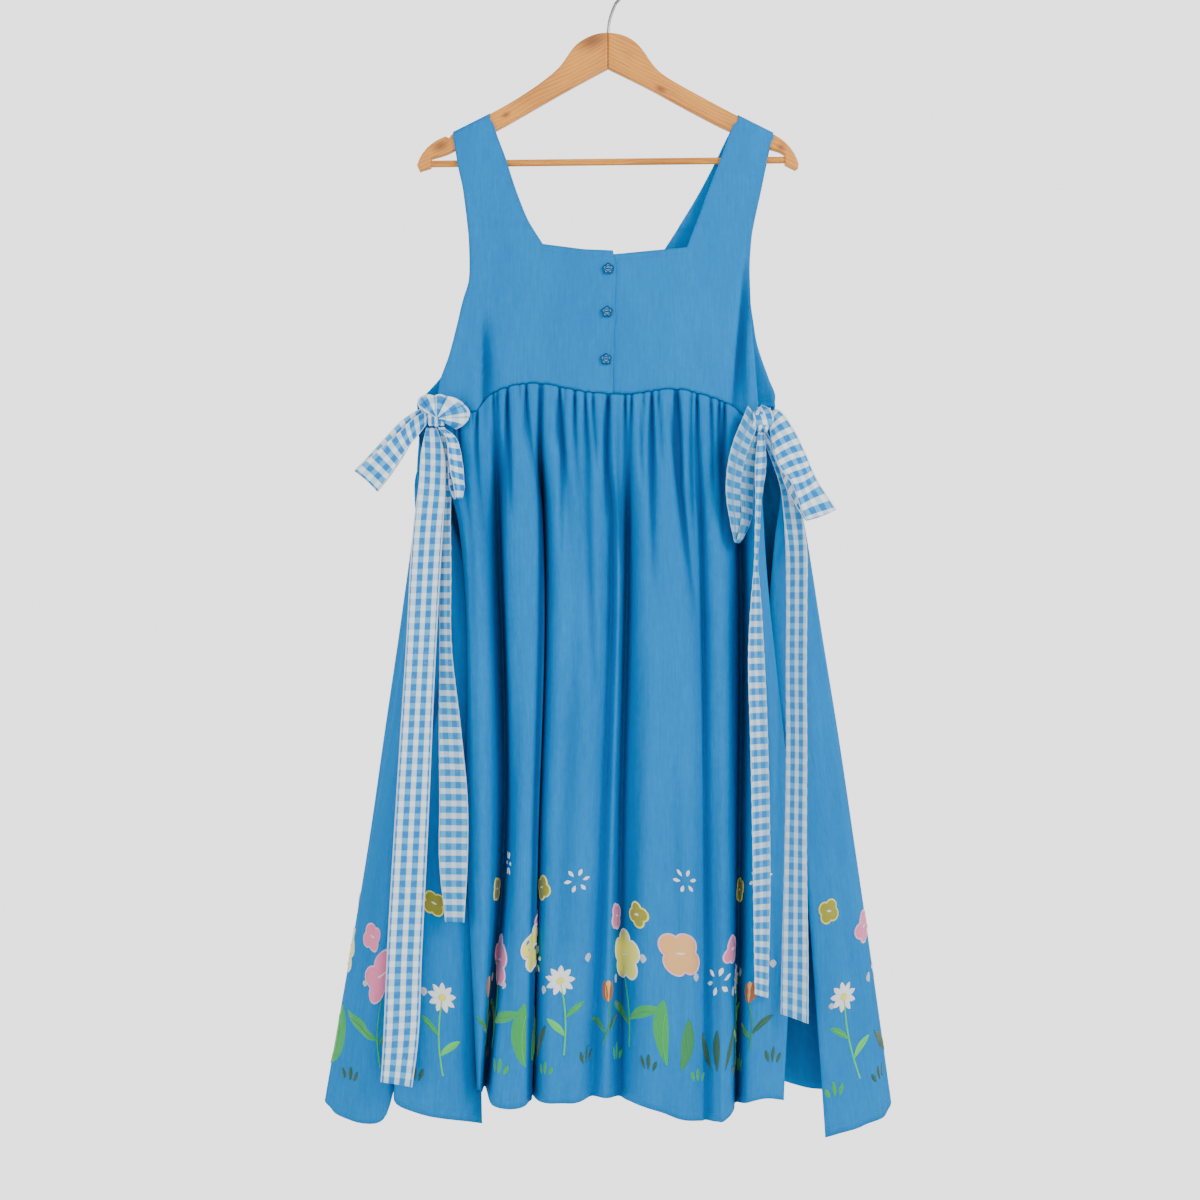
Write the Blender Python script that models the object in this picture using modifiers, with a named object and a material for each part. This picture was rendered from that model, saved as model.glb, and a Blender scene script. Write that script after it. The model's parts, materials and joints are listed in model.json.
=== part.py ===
"""Apron dress hanging on a wooden hanger.

Metres, +Z up, +X to the viewer's right, +Y away from the viewer. The origin is the inner top of the
hanger's hook, where a rod carries it. Tables and lengths below are in millimetres: x to the right,
y away from the viewer, and drop, the distance below the hook's inner top.
"""

import math

import bmesh
import bpy
import numpy as np
from mathutils import Matrix

MM = 0.001
WELD_DISTANCE = 0.0001

# Driving dimensions
CLOTH_WALL = 1.5
RIBBON_WALL = 1.2
SEAM_GAP = 0.3
SEAT_CLEAR = 0.1
WOOD_THICKNESS = 12.0
WOOD_ROUNDING = 4.0
STRAP_BEND_RADIUS = 7.65
STRAP_BEND_DROP = 6.4
STRAP_BEND_SQUARENESS = 0.75
HOOK_WIRE = 3.6
HOOK_RADIUS = 20.0
BAR_DIAMETER = 8.0
BUTTON_RADIUS = 7.0
BUTTON_THICKNESS = 2.6
BUTTON_PLACES = ((-1.0, 351.0), (-2.4, 401.3), (-3.6, 456.3))
BUTTON_HOLE_RADIUS = 0.8
BUTTON_HOLE_OUT = 1.7
BUTTON_PETAL = 0.12
GATHER_PITCH = 7.6
BACK_GATHER_PITCH = 9.5
GATHER_DEPTH = 1.9
GATHER_LEAST_LENGTH = 34.0
GATHER_MORE_LENGTH = 22.0
PUFF = 3.0
PUFF_LENGTH = 60.0
FRONT_BLEND = 141.0
BACK_BLEND = 100.0

# Middle and half width of the bodice's front and back, and the drop below which they bulge
FRONT_MIDDLE, FRONT_HALF = -11.0, 187.0
BACK_MIDDLE, BACK_HALF = -15.0, 208.5
BULGE_TOP = 300.0
# Where the folds at the front's sides begin and are full, and each one's x, width and depth
SIDE_FOLDS_FROM, SIDE_FOLDS_TO = 380.0, 495.0
TUCK_X, TUCK_STEP, TUCK_RUN, TUCK_DEPTH = -145.0, 8.0, 20.0, 7.0
LEDGE_X, LEDGE_WIDTH, LEDGE_HEIGHT = -156.0, 10.0, 3.0
TURNED_X, TURNED_WIDTH, TURNED_DEPTH = 154.0, 8.0, 6.0
# Drop of the back's top edge, of its waist seam in the middle, and how far the seam drops at the sides
BACK_NECK = 338.4
BACK_SEAM = 495.0
BACK_SEAM_SAG = 8.0
BACK_SIDE_FOOT = 503.4
# Drop of the arms' upper edge at one x, its slope, and how much higher the right arm lies
ARM_TOP_DROP, ARM_TOP_X, ARM_SLOPE, RIGHT_ARM_RISE = 169.2, 138.7, 0.5, 4.0
STRAP_BEND_TURNS = (0.6, 10.0, 24.0, 46.0, 68.0, 90.0)
# Shares of the width at which a strap and the front beside it have their columns
LEFT_STRAP_COLUMNS = (0.0, 0.12, 0.25, 0.36, 0.415, 0.44, 0.52, 0.66, 0.83, 1.0)
RIGHT_STRAP_COLUMNS = (0.0, 0.12, 0.24, 0.36, 0.5, 0.66, 0.83, 1.0)
YOKE_COLUMNS = (0.25, 0.5, 0.75, 1.0)
BACK_STRAP_COLUMNS = (0.0, 0.16, 0.33, 0.5, 0.75, 1.0)
BACK_MIDDLE_COLUMNS = (0.2, 0.4, 0.6, 0.8)
FRONT_STRAP_ROWS, FRONT_ROWS = 7, 10
BACK_STRAP_ROWS, BACK_ROWS = 8, 8

# Levels of the skirt at which its folds are laid out
LEVELS = (("waist", 500.0), ("hip", 641.0), ("mid", 1032.0), ("hem", 1305.0))
# Rows of the skirt's mesh, as millimetres below the waist seam
SKIRT_ROWS = (0.0, 8.0, 22.0, 48.0, 90.0, 145.0, 260.0, 420.0, 620.0, 810.0)

# Outer edge of the front, from the strap's top round the armhole to the tie: drop, x
LEFT_SIDE = ((190.8, -181.3), (229.6, -175.7), (258.6, -169.4), (293.3, -164.7), (328.1, -161.8),
             (362.9, -162.4), (386.1, -169.4), (415.1, -176.3), (449.9, -185.6), (484.7, -197.5),
             (510.0, -199.0))
RIGHT_SIDE = ((192.5, 190.8), (218.0, 184.3), (257.4, 176.8), (275.9, 171.6), (310.7, 165.8),
              (345.5, 163.4), (374.5, 164.0), (415.1, 165.8), (455.7, 169.2), (519.0, 174.3))
# Inner edge of each strap: drop, x
LEFT_STRAP = ((169.7, -138.4), (196.0, -129.2), (220.5, -120.0), (247.0, -111.6), (268.0, -104.2),
              (295.8, -92.4), (321.5, -76.6))
RIGHT_STRAP = ((170.4, 149.9), (194.8, 139.1), (223.8, 128.7), (247.0, 119.4), (281.7, 106.6),
               (325.0, 90.3))
# Outer edges of the back, and its right strap's inner edge: drop, x
BACK_LEFT_SIDE = ((190.8, -181.3), (254.1, -170.8), (324.4, -163.8), (359.5, -164.4), (388.7, -170.8),
                  (418.0, -177.9), (449.6, -186.1), (473.0, -196.6), (485.9, -207.1), (503.4, -223.5))
BACK_RIGHT_SIDE = ((192.5, 190.8), (253.0, 178.5), (306.8, 167.4), (341.9, 163.9), (377.0, 165.1),
                   (412.1, 169.7), (433.2, 173.2), (453.1, 179.1), (476.5, 187.3), (497.6, 194.0),
                   (503.4, 193.5))
BACK_RIGHT_STRAP = ((170.4, 149.9), (195.6, 137.0), (222.5, 124.1), (262.3, 103.0), (295.1, 83.1),
                    (338.4, 55.0))
BACK_LEFT_STRAP = ((169.7, -138.4), (196.0, -129.2), (220.5, -120.0), (247.0, -111.6), (279.4, -100.0),
                   (338.4, -70.0))
# Top edge of the front between the straps: x, drop
LEFT_NECK = ((-165.0, 318.0), (-76.6, 321.5), (-30.2, 327.6), (9.0, 329.5))
RIGHT_NECK = ((-20.0, 334.5), (4.6, 333.4), (90.3, 325.3), (165.0, 322.0))
# Waist seam of the front: x, drop
FRONT_SEAM = ((-199.0, 512.5), (-161.5, 516.4), (-153.0, 513.5), (-143.5, 501.0), (-116.8, 486.8),
              (-96.0, 483.3), (-22.1, 493.7), (23.0, 496.0), (68.0, 489.8), (85.4, 490.3),
              (105.0, 494.9), (143.1, 508.7), (163.9, 522.5), (176.0, 519.5))
PLACKET_EDGE = ((329.0, 4.5), (346.7, 8.0), (394.1, 6.8), (404.5, 8.0), (419.6, 5.7), (496.0, 4.1))
PLACKET_LAP = 26.0
PLACKET_FOOT = 490.0
# Where the right half comes forward again beside the lap
LAP_FROM, LAP_TO = 12.0, 60.0

# Depth of the bodice at each height: drop, at the side edges, more at the centre
FRONT_DEPTH = ((176.0, 7.65, 0.0), (235.0, 7.65, 0.0), (320.0, 10.5, 5.0), (420.0, 11.0, 12.0),
               (500.0, 6.5, 20.0), (530.0, 6.5, 20.0))
BACK_DEPTH = ((176.0, 7.65, 0.0), (235.0, 7.65, 0.0), (320.0, 10.0, 5.0), (420.0, 9.0, 11.0),
              (500.0, 4.0, 20.0), (530.0, 4.0, 20.0))

# Depth of the front skirt's valleys and ridges, in front of the hanger's middle plane: level, valley, ridge
FRONT_RELIEF = ((500.0, 0.0, 0.0), (641.0, 10.0, 42.0), (1032.0, 20.0, 58.0), (1305.0, 28.0, 66.0))
FRONT_SIDE_RECESS = 9.0
# Folds of the front skirt, left to right:
# name, x at waist, hip, mid and hem, relief from valley 0 to ridge 1, drop of the hem
FRONT_FOLDS = (
    ("left_edge", -199, -173, -163, -151, 0.55, 1295),
    ("narrow_ridge_left", -178, -164, -154, -148, 0.95, 1293),
    ("narrow_ridge_right", -157, -146, -137, -146, 0.85, 1297),
    ("deep_valley", -135, -129, -122, -143, 0.00, 1299),
    ("second_ridge_left", -120, -118, -110, -133, 0.90, 1309),
    ("second_ridge_right", -101, -88, -90, -101, 1.00, 1311),
    ("second_ridge_lip", -92, -78, -82, -89, 0.75, 1306),
    ("lapped_valley", -84, -79, -86, -91, 0.05, 1306),
    ("broad_ridge_left", -72, -66, -73, -78, 0.75, 1306),
    ("broad_ridge_middle", -46, -38, -45, -54, 0.92, 1306),
    ("broad_ridge_right", -17, -12, -21, -33, 0.80, 1305),
    ("shallow_valley", -4, 2, -8, -20, 0.45, 1302),
    ("small_ridge", 8, 11, 3, -4, 0.80, 1301),
    ("middle_valley", 21, 22, 14, 13, 0.25, 1305),
    ("full_ridge_left", 34, 35, 31, 35, 0.85, 1309),
    ("full_ridge_middle", 59, 63, 62, 60, 1.00, 1316),
    ("full_ridge_right", 86, 90, 96, 90, 0.92, 1326),
    ("crease", 98, 104, 110, 110, 0.62, 1329),
    ("fourth_ridge_left", 108, 112, 118, 121, 0.86, 1328),
    ("fourth_ridge_right", 130, 134, 136, 134, 0.88, 1325),
    ("fourth_ridge_lip", 138, 141, 143, 143, 0.60, 1319),
    ("black_valley", 146, 152, 151, 146, 0.00, 1317),
    ("last_ridge_left", 156, 161, 163, 156, 0.70, 1309),
    ("last_ridge_right", 166, 171, 187, 178, 0.84, 1303),
    ("right_edge", 176, 179, 211, 200, 0.62, 1307),
)

# Oval that the back skirt follows at each level: level, centre x, centre y, half width, half depth
BACK_OVAL = ((500.0, -15.0, 4.0, 208.5, 20.0), (641.0, 0.0, 6.0, 226.0, 38.0),
             (1032.0, 3.0, 4.0, 285.0, 50.0), (1305.0, -1.0, 4.0, 329.0, 58.0))
# How much of a fold's relief there is at each level
BACK_GROWTH = ((500.0, 0.0), (641.0, 0.5), (1032.0, 0.85), (1305.0, 1.0))
# Folds of the back skirt that show, by their direction round the oval in degrees (0 is right, 90 the
# back, 180 left): name, waist, hip, mid, hem, relief outwards, drop of the hem
BACK_LEFT_FOLDS = (
    ("left_edge", 180, 214, 235, 242, -18, 1337),
    ("left_ridge", 167.8, 208, 226, 232, 10, 1323),
    ("left_ridge_side", 162.6, 203, 217, 222.6, 3, 1312),
    ("left_valley", 158.7, 200, 212, 218.2, -15, 1293),
    ("left_flank_edge", 155.4, 197, 208, 219.4, 4, 1329),
    ("left_flank", 150.5, 191, 200, 206, 5, 1334),
    ("left_outer", 144.9, 182, 183, 183, 0, 1315),
)
BACK_RIGHT_FOLDS = (
    ("right_outer", 31, 1, 0, 0, 0, 1312),
    ("right_flank", 16, -16, -21, -22, 2, 1338),
    ("right_edge", 0, -31, -38, -41, 0, 1352),
)
BACK_HIDDEN_FOLDS = 6
BACK_HIDDEN_RELIEF = (-16.0, 9.0)
BACK_HIDDEN_HEM = 1309.0

# Gingham ribbons: one row for each station along the ribbon, x, drop, y of one edge and of the other
LEFT_TAIL_LONG = (
    (-211, 535, -24, -199, 535, -24), (-216, 560, -30, -190, 562, -32), (-219, 600, -34, -188, 603, -37),
    (-224, 642, -38, -190, 642, -40), (-233, 792, -46, -198, 792, -48), (-246, 1008, -56, -207, 1008, -56),
    (-253, 1134, -60, -213, 1134, -60), (-258, 1252, -63, -219, 1252, -63), (-260, 1282, -63, -224, 1288, -63),
)
LEFT_TAIL_SHORT = (
    (-197, 534.4, -25, -190, 534.4, -25), (-197, 565, -24, -183, 567, -24), (-197, 600, -24, -182, 602, -25),
    (-197, 642, -26, -182, 642, -38), (-196, 700, -32, -181, 700, -50), (-195, 781, -38, -180, 781, -56),
    (-195, 879, -47, -169, 879, -58), (-194, 966, -52, -161, 966, -58), (-194, 1030, -56, -161, 1030, -60),
    (-187, 1101, -57, -165, 1101, -61),
)
LEFT_LOOP_LARGE = (
    (-211, 516, -24, -211, 532, -24), (-222, 521, -21, -219, 542, -22), (-242, 541, -34, -232, 560, -35),
    (-262, 560, -42, -244, 580, -42), (-283, 577, -41, -258, 600, -41), (-293, 585, -35, -266, 610, -35),
    (-284, 575, -28, -257, 598, -28), (-261, 549, -23, -240, 573, -23), (-236, 523, -18, -226, 549, -18),
    (-214.5, 510, -16, -213.5, 532, -16),
)
LEFT_LOOP_HANGING = (
    (-197, 535, -29, -191, 535, -30), (-187, 548, -38, -176, 548, -32), (-184, 566, -44, -170, 568, -34),
    (-181, 590, -47, -167, 594, -34), (-177, 609, -45, -167, 609, -32), (-177, 618, -42, -170, 618, -30),
    (-182, 608, -40, -176, 607, -28), (-184, 590, -38, -180, 590, -27), (-185, 565, -36, -182, 565, -27),
    (-187, 548, -33, -185, 548, -28),
)
RIGHT_TAIL_LONG = (
    (174, 539, -24, 181, 539, -23), (187, 570, -18, 199, 568, -18), (197, 600, -19, 215, 597, -19),
    (202, 640, -20, 224, 640, -22), (203, 672, -30, 226, 672, -46), (203, 734, -42, 225, 734, -60),
    (202, 817, -46, 224, 817, -66), (202, 891, -50, 224, 891, -72), (200, 1014, -56, 223, 1014, -77),
    (196, 1153, -60, 225, 1153, -78), (195, 1205, -61, 225, 1213, -78),
)
RIGHT_TAIL_SHORT = (
    (172, 540, -30, 179, 540, -27), (167, 584, -46, 180, 582, -36), (167, 619, -54, 175, 619, -38),
    (166, 654, -58, 173, 655, -39), (165, 688, -62, 171, 688, -42), (161, 734, -65, 174, 734, -45),
    (158, 791, -68, 177, 791, -48), (160, 891, -70, 181, 891, -51), (163, 1058, -73, 184, 1058, -53),
    (165, 1180, -75, 181, 1188, -55),
)
RIGHT_LOOP_LARGE = (
    (185, 518, -27, 185, 534, -27), (193, 515, -38, 187, 554, -38), (210, 536, -46, 194, 580, -44),
    (223, 562, -46, 208, 599, -44), (239, 597, -42, 219, 628, -42), (261, 630, -36, 226, 643, -36),
    (242, 603, -28, 217, 629, -29), (221, 573, -24, 202, 600, -25), (207, 538, -22, 194, 569, -24),
    (190, 514, -20, 188, 538, -21),
)
RIGHT_LOOP_HANGING = (
    (162.5, 518, -30, 162.5, 532, -25), (151, 545, -46, 157, 557, -29), (137, 583, -52, 145, 589, -32),
    (134, 606, -53, 142, 609, -34), (139, 641, -52, 146, 641, -36), (147, 670, -50, 151, 668, -37),
    (154, 642, -48, 158, 644, -34), (151, 596, -44, 161, 602, -32), (155, 567, -38, 164, 570, -27),
    (163, 545, -31, 168, 545, -26),
)
# Knots: centre x, drop and y, width, height and depth of the wrapped core, tilt in degrees
LEFT_KNOT = (-199.0, 524.0, -27.0, 22.0, 20.0, 13.0, 0.0)
RIGHT_KNOT = (173.0, 527.0, -27.0, 18.0, 23.0, 13.0, 10.0)
KNOT_ROUNDING = 4.0
# Left knot's shell-shaped spread of pleats: angle in degrees from the viewer's right, radius
LEFT_FAN = ((-38, 27), (0, 36), (20, 37), (45, 33), (68, 29), (90, 29), (115, 31), (138, 31), (160, 22), (190, 15))

FAN_SPOKES = 28
FAN_SHARES = (0.35, 0.6, 0.8, 1.0)
FAN_WALL, FAN_PLEAT, FAN_DOME = 2.0, 1.3, 9.0
# Tie ends: side, middle of the garment's front corner (x, drop) and of the back's, and the way round between
TIE_CORNERS = ((-190.0, 500.0, -212.0, 492.0, -9.0), (165.0, 506.0, 184.0, 492.0, 8.0))
TIE_CLEAR = 1.2
BACK_TIE_CLEAR = 2.8

# Hanger outlines seen from the front, top edge then lower edge: x, drop
LEFT_ARM = ((-1.4, 74.0), (-10.5, 74.4), (-19.8, 76.9), (-30.3, 82.0), (-37.3, 87.0), (-43.5, 93.6),
            (-50.1, 103.7), (-58.5, 115.6), (-80.4, 133.4), (-109.5, 152.6), (-138.7, 169.0),
            (-162.0, 180.6), (-181.8, 190.5), (-186.2, 196.6), (-190.5, 194.6), (-201.6, 199.6),
            (-211.4, 207.2), (-219.2, 217.2), (-223.6, 228.0), (-220.2, 235.4), (-206.8, 231.2),
            (-206.8, 221.6), (-205.4, 220.2), (-199.2, 218.8), (-188.7, 215.6),
            (-179.4, 210.9), (-156.1, 200.2), (-130.5, 187.6), (-109.5, 176.0), (-80.4, 159.1),
            (-39.6, 136.0), (-1.4, 115.6))
RIGHT_ARM = ((-1.1, 74.0), (8.1, 74.7), (18.6, 77.6), (27.9, 82.6), (34.9, 88.6), (41.9, 97.6),
             (47.8, 107.0), (58.0, 119.6), (76.9, 132.0), (123.5, 157.3), (147.9, 170.1),
             (170.1, 181.6), (191.0, 191.7), (202.7, 199.3), (212.0, 208.6), (217.8, 218.4),
             (221.0, 227.0), (220.0, 231.6), (216.6, 233.8), (204.4, 227.6),
             (204.4, 216.9), (203.0, 215.4), (196.9, 212.0), (186.4, 209.2), (164.2, 199.6), (138.6, 187.6),
             (123.5, 180.6), (82.7, 159.0), (45.4, 138.2), (-1.1, 115.6))
BAR_ENDS = ((-206.3, 226.1), (203.9, 221.5))
# Hook's centre line below its round top: x, drop
HOOK_CENTRE_X = 0.0
HOOK_TURNS = (205.0, -52.0)
HOOK_STEM = ((10.4, 35.8), (4.0, 48.0), (0.2, 60.5), (-1.2, 73.7))

# Colours, linear red, green and blue
DRESS_BLUE = (0.02, 0.36, 0.70)
GINGHAM_BLUE = (0.30, 0.55, 0.75)
WOOD_HONEY = (0.60, 0.36, 0.15)
STEEL_GREY = (0.55, 0.56, 0.58)
BUTTON_BLUE = (0.16, 0.40, 0.58)


def clear_scene():
    for item in list(bpy.data.objects):
        bpy.data.objects.remove(item)


def material(name, colour, roughness, metallic=0.0):
    made = bpy.data.materials.new(name)
    made.use_nodes = True
    shader = made.node_tree.nodes["Principled BSDF"]
    shader.inputs["Base Color"].default_value = (*colour, 1.0)
    shader.inputs["Roughness"].default_value = roughness
    shader.inputs["Metallic"].default_value = metallic
    return made


def through(table, at, column=1):
    """A smooth curve through a table's first column and the named one, read at a value or an array."""
    knots = np.array([row[0] for row in table], float)
    values = np.array([row[column] for row in table], float)
    steps = np.diff(knots)
    slopes = np.diff(values) / steps
    tangents = np.empty_like(values)
    tangents[0] = slopes[0]
    tangents[-1] = slopes[-1]
    tangents[1:-1] = (slopes[:-1] * steps[1:] + slopes[1:] * steps[:-1]) / (steps[:-1] + steps[1:])
    at = np.clip(np.asarray(at, float), knots[0], knots[-1])
    cell = np.clip(np.searchsorted(knots, at) - 1, 0, len(steps) - 1)
    part = (at - knots[cell]) / steps[cell]
    a = (1 + 2 * part) * (1 - part) ** 2
    b = part * (1 - part) ** 2
    c = part**2 * (3 - 2 * part)
    d = part**2 * (part - 1)
    return (a * values[cell] + b * steps[cell] * tangents[cell]
            + c * values[cell + 1] + d * steps[cell] * tangents[cell + 1])


def straight(table, at, column=1):
    return np.interp(at, [row[0] for row in table], [row[column] for row in table])


def smoothstep(value, low, high):
    part = np.clip((value - low) / (high - low), 0.0, 1.0)
    return part * part * (3 - 2 * part)


def point(x, drop, y):
    return (x * MM, y * MM, -drop * MM)


def add_object(name, mesh, look, group):
    made = bpy.data.objects.new(name, mesh)
    mesh.materials.append(look)
    group.objects.link(made)
    return made


def sheet(name, rows, look, group, wall, kept=None):
    """A grid of points made a wall of cloth. kept says which cells are cloth; the rest stay open."""
    build = bmesh.new()
    grid = [[build.verts.new(spot) for spot in row] for row in rows]
    for i in range(len(grid) - 1):
        for j in range(len(grid[0]) - 1):
            if kept is None or kept(i, j):
                build.faces.new((grid[i][j], grid[i + 1][j], grid[i + 1][j + 1], grid[i][j + 1]))
    loose = [vert for vert in build.verts if not vert.link_faces]
    bmesh.ops.delete(build, geom=loose, context="VERTS")
    mesh = bpy.data.meshes.new(name)
    build.to_mesh(mesh)
    build.free()
    mesh.shade_smooth()
    made = add_object(name, mesh, look, group)
    solid = made.modifiers.new("Wall", "SOLIDIFY")
    solid.thickness = wall * MM
    solid.offset = 0.0
    solid.use_even_offset = False
    return made


def front_depth(x, drop):
    """The front's distance before the hanger's middle plane, with the two folds at its sides."""
    across = np.clip((x - FRONT_MIDDLE) / FRONT_HALF, -1.0, 1.0)
    rise = np.where(drop > BULGE_TOP, 1.0 - across**2, 0.0)
    depth = straight(FRONT_DEPTH, drop, 1) + straight(FRONT_DEPTH, drop, 2) * rise
    low = smoothstep(drop, SIDE_FOLDS_FROM, SIDE_FOLDS_TO)
    tuck = smoothstep(x, TUCK_X - TUCK_STEP, TUCK_X) * np.exp(-np.maximum(x - TUCK_X, 0.0) / TUCK_RUN)
    ledge = np.exp(-(((x - LEDGE_X) / LEDGE_WIDTH) ** 2))
    turned = np.exp(-(((x - TURNED_X) / TURNED_WIDTH) ** 2))
    return depth - low * (TUCK_DEPTH * tuck - LEDGE_HEIGHT * ledge + TURNED_DEPTH * turned)


def back_depth(x, drop):
    across = np.clip((x - BACK_MIDDLE) / BACK_HALF, -1.0, 1.0)
    rise = np.where(drop > BULGE_TOP, np.sqrt(1.0 - across**2), 0.0)
    return straight(BACK_DEPTH, drop, 1) + straight(BACK_DEPTH, drop, 2) * rise


def back_seam(x):
    return BACK_SEAM + BACK_SEAM_SAG * ((x - BACK_MIDDLE) / BACK_HALF) ** 2


def arm_top(x):
    """Drop of the hanger's top edge where the straps cross it."""
    return ARM_TOP_DROP + ARM_SLOPE * (abs(x) - ARM_TOP_X) - (0.0 if x < 0 else RIGHT_ARM_RISE)


def strap_rows(outer, inner, columns, face, neck, rows_down):
    """Rows of one strap, over the arm and down to the neckline, for columns from 0 outside to 1 inside.

    face is -1 for the front and +1 for the back; neck gives the drop of the last row for each column.
    """
    rows = []
    for degrees in STRAP_BEND_TURNS:
        turn = math.radians(degrees)
        row = []
        for part in columns:
            x = outer[0][1] + (inner[0][1] - outer[0][1]) * part
            rise = max(0.0, math.cos(turn)) ** STRAP_BEND_SQUARENESS
            out = math.sin(turn) ** STRAP_BEND_SQUARENESS
            drop = arm_top(x) + STRAP_BEND_DROP - STRAP_BEND_RADIUS * rise
            row.append((x, drop, face * STRAP_BEND_RADIUS * out))
        rows.append(row)
    start = rows[-1]
    for step in range(1, rows_down + 1):
        share = step / rows_down
        row = []
        for part, (_, first, _) in zip(columns, start):
            drop = first + (neck(part) - first) * share
            x = through(outer, drop) * (1 - part) + through(inner, drop) * part
            depth = front_depth(x, drop) if face < 0 else back_depth(x, drop)
            row.append((float(x), float(drop), face * float(depth)))
        rows.append(row)
    return rows


def front_half(name, left, look, group):
    """One half of the front bodice with its strap. left means the viewer's left."""
    outer = LEFT_SIDE if left else RIGHT_SIDE
    inner = LEFT_STRAP if left else RIGHT_STRAP
    neck_line = LEFT_NECK if left else RIGHT_NECK
    strap_columns = LEFT_STRAP_COLUMNS if left else RIGHT_STRAP_COLUMNS
    corner_neck, corner = inner[-1]
    edge_neck = straight(neck_line, outer[4][1])
    rows = strap_rows(outer, inner, strap_columns, -1.0,
                      lambda part: edge_neck + (corner_neck - edge_neck) * part, FRONT_STRAP_ROWS)
    neck_row = len(rows) - 1
    lap = 0.0 if left else PLACKET_LAP
    side_end = outer[-1][1]
    for step in range(FRONT_ROWS + 1):
        share = step / FRONT_ROWS
        row = []
        edge_drop = edge_neck + (float(through(FRONT_SEAM, side_end)) - edge_neck) * share
        edge_x = float(through(outer, edge_drop))
        for part in strap_columns:
            x = edge_x + (corner - edge_x) * part
            seam_x = side_end + (corner - side_end) * part
            top = edge_neck + (corner_neck - edge_neck) * part
            drop = top + (float(through(FRONT_SEAM, seam_x)) - SEAM_GAP / 2 - top) * share
            row.append((x, drop))
        for part in YOKE_COLUMNS:
            neck_end = float(straight(PLACKET_EDGE, corner_neck)) - lap
            drop = float(straight(neck_line, corner + (neck_end - corner) * part))
            end = float(straight(PLACKET_EDGE, drop + (PLACKET_FOOT - drop) * share)) - lap
            x = corner + (end - corner) * part
            drop += (float(through(FRONT_SEAM, x)) - SEAM_GAP / 2 - drop) * share
            row.append((x, drop))
        bottom = row
        made = []
        for x, drop in row:
            under = 0.0 if left else (CLOTH_WALL + SEAM_GAP) * (1 - smoothstep(x, LAP_FROM, LAP_TO))
            made.append((x, drop, -float(front_depth(x, drop)) + float(under)))
        if step == 0:
            rows[neck_row] = made
        else:
            rows.append(made)
    width = len(strap_columns) + len(YOKE_COLUMNS)
    for row in rows[:neck_row]:
        row.extend([row[-1]] * (width - len(row)))
    strap_cells = len(strap_columns) - 1
    spots = [[point(*spot) for spot in (row if left else row[::-1])] for row in rows]

    def kept(i, j):
        column = j if left else width - 2 - j
        return i >= neck_row or column < strap_cells

    sheet(name, spots, look, group, CLOTH_WALL, kept)
    return sorted(bottom)


def back_bodice(look, group):
    """The back with both straps: left strap columns, the middle, then right strap columns."""
    sides = ((BACK_LEFT_SIDE, BACK_LEFT_STRAP), (BACK_RIGHT_SIDE, BACK_RIGHT_STRAP))
    straps = [strap_rows(outer, inner, BACK_STRAP_COLUMNS, 1.0, lambda part: BACK_NECK, BACK_STRAP_ROWS)
              for outer, inner in sides]
    neck_row = len(straps[0]) - 1
    left_corner, right_corner = (inner[-1][1] for _, inner in sides)

    def below_neck(x, seam_x, share):
        drop = BACK_NECK + (back_seam(seam_x) - SEAM_GAP / 2 - BACK_NECK) * share
        return (x, drop, float(back_depth(x, drop)))

    rows = []
    for index in range(neck_row + BACK_ROWS + 1):
        share = max(0.0, (index - neck_row) / BACK_ROWS)
        parts = [strap[min(index, neck_row)] for strap in straps]
        if index > neck_row:
            parts = []
            for outer, inner in sides:
                corner = inner[-1][1]
                edge = float(through(outer, BACK_NECK + (BACK_SIDE_FOOT - BACK_NECK) * share))
                foot = outer[-1][1]
                parts.append([below_neck(edge + (corner - edge) * part, foot + (corner - foot) * part, share)
                              for part in BACK_STRAP_COLUMNS])
        middle = []
        for part in BACK_MIDDLE_COLUMNS:
            x = left_corner + (right_corner - left_corner) * part
            middle.append(below_neck(x, x, share))
        rows.append(parts[0] + middle + parts[1][::-1])
    strap_cells = len(BACK_STRAP_COLUMNS) - 1
    width = len(rows[0])

    def kept(i, j):
        return i >= neck_row or j < strap_cells or j >= width - 1 - strap_cells

    spots = [[point(*spot) for spot in row] for row in rows]
    return sheet("back_bodice", spots, look, group, CLOTH_WALL, kept)


def gather(count, below):
    """Depth of the small gathers at a distance below the seam, for each column: two columns a gather."""
    column = np.arange(count)
    fold = column // 2
    sign = np.where(column % 2 == 0, 1.0, -1.0)
    uneven = 0.75 + 0.35 * np.sin(fold * 2.4) * np.cos(fold * 0.9)
    length = GATHER_LEAST_LENGTH + GATHER_MORE_LENGTH * np.abs(np.sin(fold * 1.7))
    grown = 0.35 + 0.65 * min(1.0, below / GATHER_PITCH)
    return sign * GATHER_DEPTH * uneven * grown * np.exp(-max(0.0, below - GATHER_PITCH) / length)


def skirt_level(values, drop):
    """A fold's value at a height, from its values at the four levels."""
    return float(through([(level, value) for (_, level), value in zip(LEVELS, values)], drop))


def puff(below):
    """The swell of the cloth just under the waist seam."""
    return PUFF * math.sin(math.pi * min(1.0, below / PUFF_LENGTH))


def lower_edge(left_bottom, right_bottom, at):
    """Drop of the front bodice's lower edge, the lower one of the two halves where they lap."""
    left = np.interp(at, *zip(*left_bottom), right=0.0)
    right = np.interp(at, *zip(*right_bottom), left=0.0)
    return np.maximum(left, right)


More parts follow.
